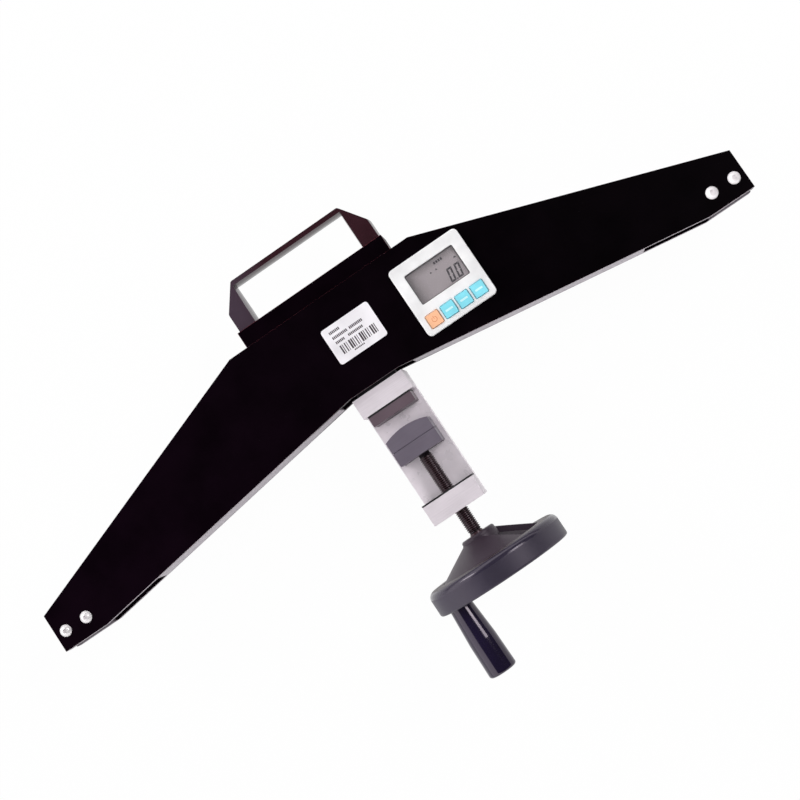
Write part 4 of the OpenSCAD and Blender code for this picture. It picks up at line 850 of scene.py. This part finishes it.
class METER_OT_spindle(bpy.types.Operator):
    """Turns the spindle with a real helical thread"""

    bl_idname = "meter.spindle"
    bl_label = "Spindle"

    CREST = 6.0 * MM
    JOURNAL = 5.0 * MM
    CHAMFER = 0.3 * MM
    # Groove for the journal pins: radius, half width and height over the jaw base's underside
    NECK, NECK_HALF, NECK_RISE = 3.5 * MM, 1.6 * MM, 4.5 * MM
    RUN_OUT = 2.05 * MM
    COLLAR = 1.5 * MM
    THREAD_STEPS = 12
    # Colour of the painted highlight on the thread's crests
    PAINTED_CREST_HIGHLIGHT = (0.042, 0.019, 0.024)

    def execute(self, context):
        details = context.scene.meter_details
        hub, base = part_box("handwheel")[1].y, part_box("jaw_base")[0].y
        start, end = base - self.RUN_OUT, hub + self.COLLAR
        root, segments = self.CREST - details.thread_depth, details.turn_segments
        bm = bmesh.new()
        rings = []
        for radius, y, fade in self.profile(base, hub, start, end, root, details.thread_lead):
            ring = []
            for k in range(segments):
                a = math.tau * k / segments
                r = radius
                if fade:
                    wave = ((start - y) / details.thread_lead + k / segments) % 1.0
                    flank = min(1.0, max(0.0, (0.80 - 2 * abs(wave - 0.5)) / 0.45))
                    r += (self.CREST - root) * fade * flank
                ring.append(bm.verts.new((r * math.cos(a), y, r * math.sin(a))))
            rings.append(ring)
        skin(bm, *rings)
        bmesh.ops.remove_doubles(bm, verts=bm.verts, dist=WELD_REACH)
        finish = self.finish(root, details.thread_depth)
        make_piece("threaded_spindle", bm, finish, "spindle", ("spindle",), 50.0)
        return {"FINISHED"}

    def profile(self, base, hub, start, end, root, lead):
        """Radius, height and share of thread of each ring, from the top down"""
        low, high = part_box("spindle")
        neck = base + self.NECK_RISE
        above, below = neck + self.NECK_HALF, neck - self.NECK_HALF
        rings = [(0.0, high.y), (self.JOURNAL - self.CHAMFER, high.y), (self.JOURNAL, high.y - self.CHAMFER),
                 (self.JOURNAL, above), (self.NECK, above), (self.NECK, below), (self.JOURNAL, below),
                 (self.JOURNAL, start)]
        profile = [(r, y, 0.0) for r, y in rings]
        count = int((start - end) / lead * self.THREAD_STEPS)
        for i in range(1, count):
            fade = min(1.0, i / self.THREAD_STEPS, (count - i) / (1.5 * self.THREAD_STEPS))
            profile.append((root, start - (start - end) * i / count, fade))
        rings = [(root, end), (self.CREST, end), (self.CREST, hub), (self.JOURNAL, hub),
                 (self.JOURNAL, low.y), (0.0, low.y)]
        return profile + [(r, y, 0.0) for r, y in rings]

    def finish(self, root, depth):
        """Black oxide, with a painted brown highlight on the thread's crests"""
        oxide = Finish("spindle_oxide", Specular_IOR_Level=0.6, Specular_Tint=(1.0, 0.82, 0.92, 1.0))
        wear = oxide.noise(130.0, 4.0)
        # Painted highlight: the crests turn brown-red, as if catching the light
        crest_highlight = oxide.radial(0.0, 1.0, root + 0.6 * depth, self.CREST)
        ground = oxide.mix(oxide.spread(wear, 0.0, 1.0), (0.0015, 0.0005, 0.0010), (0.003, 0.001, 0.002))
        oxide.colour(crest_highlight, ground, self.PAINTED_CREST_HIGHLIGHT)
        oxide.roughness(wear, 0.22, 0.34)
        oxide.bump(oxide.noise(900.0, 3.0), 0.004 * MM, 0.3)
        return oxide.material


class METER_OT_handwheel(bpy.types.Operator):
    """Finishes the handwheel and its revolving grip"""

    bl_idname = "meter.handwheel"
    bl_label = "Handwheel"

    # Where the rim and its inner slope begin and are full, by radius
    RIM = (57.5 * MM, 60 * MM)
    SLOPE = (45.5 * MM, 48 * MM)
    # Colour of the painted brown reflection on the rim's inner slope
    PAINTED_BROWN_REFLECTION = (0.020, 0.008, 0.010)
    # Height of the rim's top over the wheel's underside, and where the polish begins and is full under it
    RIM_TOP = 21.4 * MM
    POLISH_START, POLISH_FULL = 6.2 * MM, 5.0 * MM

    def execute(self, context):
        colours = context.scene.meter_finishes
        dress(self.wheel_finish(colours.wheel), "handwheel")
        gloss = moulded_plastic("grip_thermoset", colours.grip, 0.10, 0.004, 700.0, Specular_IOR_Level=0.65,
                                Specular_Tint=(1.0, 0.88, 0.98, 1.0))
        dress(gloss, "grip")
        return {"FINISHED"}

    def wheel_finish(self, colour):
        """Satin rim with a polished crest and a painted brown reflection on its inner slope, round a dark
        web
        """
        finish = Finish("wheel_thermoset", Specular_IOR_Level=0.52, Specular_Tint=(1.0, 0.90, 1.0, 1.0))
        cloud = finish.noise(45.0, 4.0)
        rim = finish.radial(0.0, 1.0, *self.RIM)
        slope = finish.join(finish.radial(0.0, 0.85, *self.SLOPE), rim, "SUBTRACT")
        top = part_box("handwheel")[0].y + self.RIM_TOP
        polish = finish.along("Y", 0.0, 1.0, top - self.POLISH_START, top - self.POLISH_FULL)
        crest = finish.join(rim, polish, "MULTIPLY")
        web = finish.mix(finish.spread(cloud, 0.0, 1.0), (0.022, 0.013, 0.022), (0.029, 0.018, 0.029))
        ground = finish.mix(finish.spread(cloud, 0.0, 1.0), tint(colour, 0.9), tint(colour, 1.1))
        ground = finish.mix(rim, web, ground)
        # Painted reflection: brown on the rim's inner slope
        finish.colour(slope, ground, self.PAINTED_BROWN_REFLECTION)
        dull = finish.join(finish.spread(crest, 0.44, 0.17, 0.0, 1.0), finish.spread(cloud, -0.03, 0.05))
        finish.link(dull, "Roughness")
        finish.bump(finish.noise(900.0, 3.0), 0.008 * MM, 0.5)
        return finish.material


class METER_OT_insides(bpy.types.Operator):
    """Finishes the load cell, battery, board and other inner pieces"""

    bl_idname = "meter.insides"
    bl_label = "Insides"

    def execute(self, context):
        dress(milled_metal("load_cell_alloy", (0.05, 0.045, 0.05), 0.45), "load_cell")
        dress(milled_metal("bridge_steel", (0.24, 0.23, 0.25), 0.4), "load_bridge")
        dress(moulded_plastic("backlight_diffuser", (0.78, 0.78, 0.75), 0.5), "lcd_backlight")
        dress(moulded_plastic("solder_mask", (0.02, 0.13, 0.05), 0.35), "display_board")
        dress(moulded_plastic("inner_plastic", (0.02, 0.02, 0.022), 0.5), "key_switches", "battery_tray")
        dress(moulded_plastic("battery_wrap", (0.05, 0.05, 0.06), 0.3), "battery")
        dress(moulded_plastic("cable_jacket", (0.012, 0.012, 0.014), 0.55), "signal_cable")
        return {"FINISHED"}


class METER_OT_studio(bpy.types.Operator):
    """Sets up the pale floor, the soft lights and the camera"""

    bl_idname = "meter.studio"
    bl_label = "Studio"

    FLOOR_GAP = 0.2 * MM
    FLOOR_REACH = 8.0
    FLOOR_WHITE = 0.97
    # Way up of the room, leaning to the soft box's side, and where its walls end along it
    ROOM_UP = (0.41, 0.0, 0.91)
    WALL_END = (0.37, 0.50)

    def execute(self, context):
        studio = context.scene.meter_studio
        scene = context.scene
        scene.view_settings.view_transform = "Standard"
        self.floor()
        self.world(scene, studio)
        self.lamp("soft_box", (1.50, 0.31, 1.60), (0.85, 1.00), studio.key_power)
        self.lamp("side_box", (-1.25, 1.30, 0.95), (0.75, 0.42), studio.side_power)
        self.lamp("front_fill", (0.0, -0.10, 2.50), (1.40, 1.40), studio.fill_power).visible_glossy = False
        camera = bpy.data.cameras.new("meter_camera")
        camera.lens = studio.camera_lens
        camera.sensor_width = 36.0
        camera.clip_end = 50.0
        holder = bpy.data.objects.new("meter_camera", camera)
        holder.location = studio.camera_place
        holder.rotation_euler = Euler(studio.camera_turn)
        scene.collection.objects.link(holder)
        scene.camera = holder
        return {"FINISHED"}

    def floor(self):
        """Plain pale paper just under the meter"""
        level, reach = CAD_BOX[0][2] - self.FLOOR_GAP, self.FLOOR_REACH
        mesh = bpy.data.meshes.new("studio_floor")
        outline = corners(-reach, -reach, reach, reach)
        mesh.from_pydata([(x, y, level) for x, y in outline], [], [(0, 1, 2, 3)])
        material = bpy.data.materials.new("studio_paper")
        material.use_nodes = True
        shader = material.node_tree.nodes["Principled BSDF"]
        shader.inputs["Base Color"].default_value = (0.86, 0.86, 0.86, 1.0)
        shader.inputs["Roughness"].default_value = 0.9
        self.seen_white(material.node_tree, shader, self.FLOOR_WHITE)
        mesh.materials.append(material)
        floor = bpy.data.objects.new("studio_floor", mesh)
        bpy.context.scene.collection.objects.link(floor)

    @staticmethod
    def seen_white(tree, shader, share):
        """Plain white for the camera and for reflections, the shader's own light for all else"""
        nodes, links = tree.nodes, tree.links
        path = nodes.new("ShaderNodeLightPath")
        seen = path.outputs["Is Camera Ray"]
        for name in ("Is Glossy Ray", "Is Transmission Ray"):
            either = nodes.new("ShaderNodeMath")
            either.operation = "MAXIMUM"
            links.new(seen, either.inputs[0])
            links.new(path.outputs[name], either.inputs[1])
            seen = either.outputs[0]
        part = nodes.new("ShaderNodeMath")
        part.operation = "MULTIPLY"
        part.inputs[1].default_value = share
        links.new(seen, part.inputs[0])
        white = nodes.new("ShaderNodeEmission")
        white.inputs["Strength"].default_value = 1.0
        mix = nodes.new("ShaderNodeMixShader")
        links.new(part.outputs[0], mix.inputs[0])
        links.new(shader.outputs[0], mix.inputs[1])
        links.new(white.outputs[0], mix.inputs[2])
        links.new(mix.outputs[0], nodes["Material Output"].inputs["Surface"])

    def world(self, scene, studio):
        """Dim ceiling over bright walls, lower on the soft box's side; the camera itself sees plain white"""
        world = bpy.data.worlds.new("studio_room")
        world.use_nodes = True
        nodes, links = world.node_tree.nodes, world.node_tree.links
        height = nodes.new("ShaderNodeVectorMath")
        height.operation = "DOT_PRODUCT"
        height.inputs[1].default_value = self.ROOM_UP
        links.new(nodes.new("ShaderNodeTexCoord").outputs["Generated"], height.inputs[0])
        fall = nodes.new("ShaderNodeMapRange")
        fall.interpolation_type = "SMOOTHSTEP"
        links.new(height.outputs["Value"], fall.inputs["Value"])
        for socket, number in zip(("From Min", "From Max", "To Min", "To Max"),
                                  (*self.WALL_END, studio.walls, studio.ceiling)):
            fall.inputs[socket].default_value = number
        seen = nodes.new("ShaderNodeMix")
        links.new(nodes.new("ShaderNodeLightPath").outputs["Is Camera Ray"], seen.inputs["Factor"])
        links.new(fall.outputs["Result"], seen.inputs["A"])
        seen.inputs["B"].default_value = 1.0
        links.new(seen.outputs["Result"], nodes["Background"].inputs["Strength"])
        nodes["Background"].inputs["Color"].default_value = (1.0, 1.0, 1.0, 1.0)
        scene.world = world

    @staticmethod
    def lamp(name, place, size, power):
        """Soft box that looks at the middle of the clamp, with its long side along the body's height"""
        light = bpy.data.lights.new(name, "AREA")
        light.shape = "RECTANGLE"
        light.size, light.size_y = size
        light.energy = power
        holder = bpy.data.objects.new(name, light)
        holder.location = place
        back = Vector(place).normalized()
        length = (Vector((0.0, 1.0, 0.0)) - back * back.y).normalized()
        holder.rotation_euler = Matrix((length.cross(back), length, back)).transposed().to_euler()
        holder.visible_camera = False
        bpy.context.scene.collection.objects.link(holder)
        return holder


PIECES = (METER_OT_body, METER_OT_fasteners, METER_OT_carry_handle, METER_OT_display, METER_OT_label,
          METER_OT_clamp, METER_OT_spindle, METER_OT_handwheel, METER_OT_insides, METER_OT_studio)


class METER_PT_sidebar(bpy.types.Panel):
    """Lists the meter's operators"""

    bl_idname = "METER_PT_sidebar"
    bl_label = "Tension Meter"
    bl_space_type = "VIEW_3D"
    bl_region_type = "UI"
    bl_category = "Tension Meter"

    def draw(self, context):
        for piece in PIECES:
            self.layout.operator(piece.bl_idname)
        for group in (context.scene.meter_finishes, context.scene.meter_details, context.scene.meter_studio):
            box = self.layout.box()
            for name in group.__annotations__:
                box.prop(group, name)


GROUPS = {"meter_finishes": MeterFinishes, "meter_details": MeterDetails, "meter_studio": MeterStudio}


def register():
    for group in GROUPS.values():
        bpy.utils.register_class(group)
    for name, group in GROUPS.items():
        setattr(bpy.types.Scene, name, PointerProperty(type=group))
    for operator in PIECES:
        bpy.utils.register_class(operator)
    bpy.utils.register_class(METER_PT_sidebar)


def unregister():
    bpy.utils.unregister_class(METER_PT_sidebar)
    for operator in reversed(PIECES):
        bpy.utils.unregister_class(operator)
    for name in GROUPS:
        delattr(bpy.types.Scene, name)
    for group in GROUPS.values():
        bpy.utils.unregister_class(group)


def main():
    register()
    bpy.ops.meter.body()
    bpy.ops.meter.fasteners()
    bpy.ops.meter.carry_handle()
    bpy.ops.meter.display()
    bpy.ops.meter.label()
    bpy.ops.meter.clamp()
    bpy.ops.meter.spindle()
    bpy.ops.meter.handwheel()
    bpy.ops.meter.insides()
    bpy.ops.meter.studio()


if __name__ == "__main__":
    main()
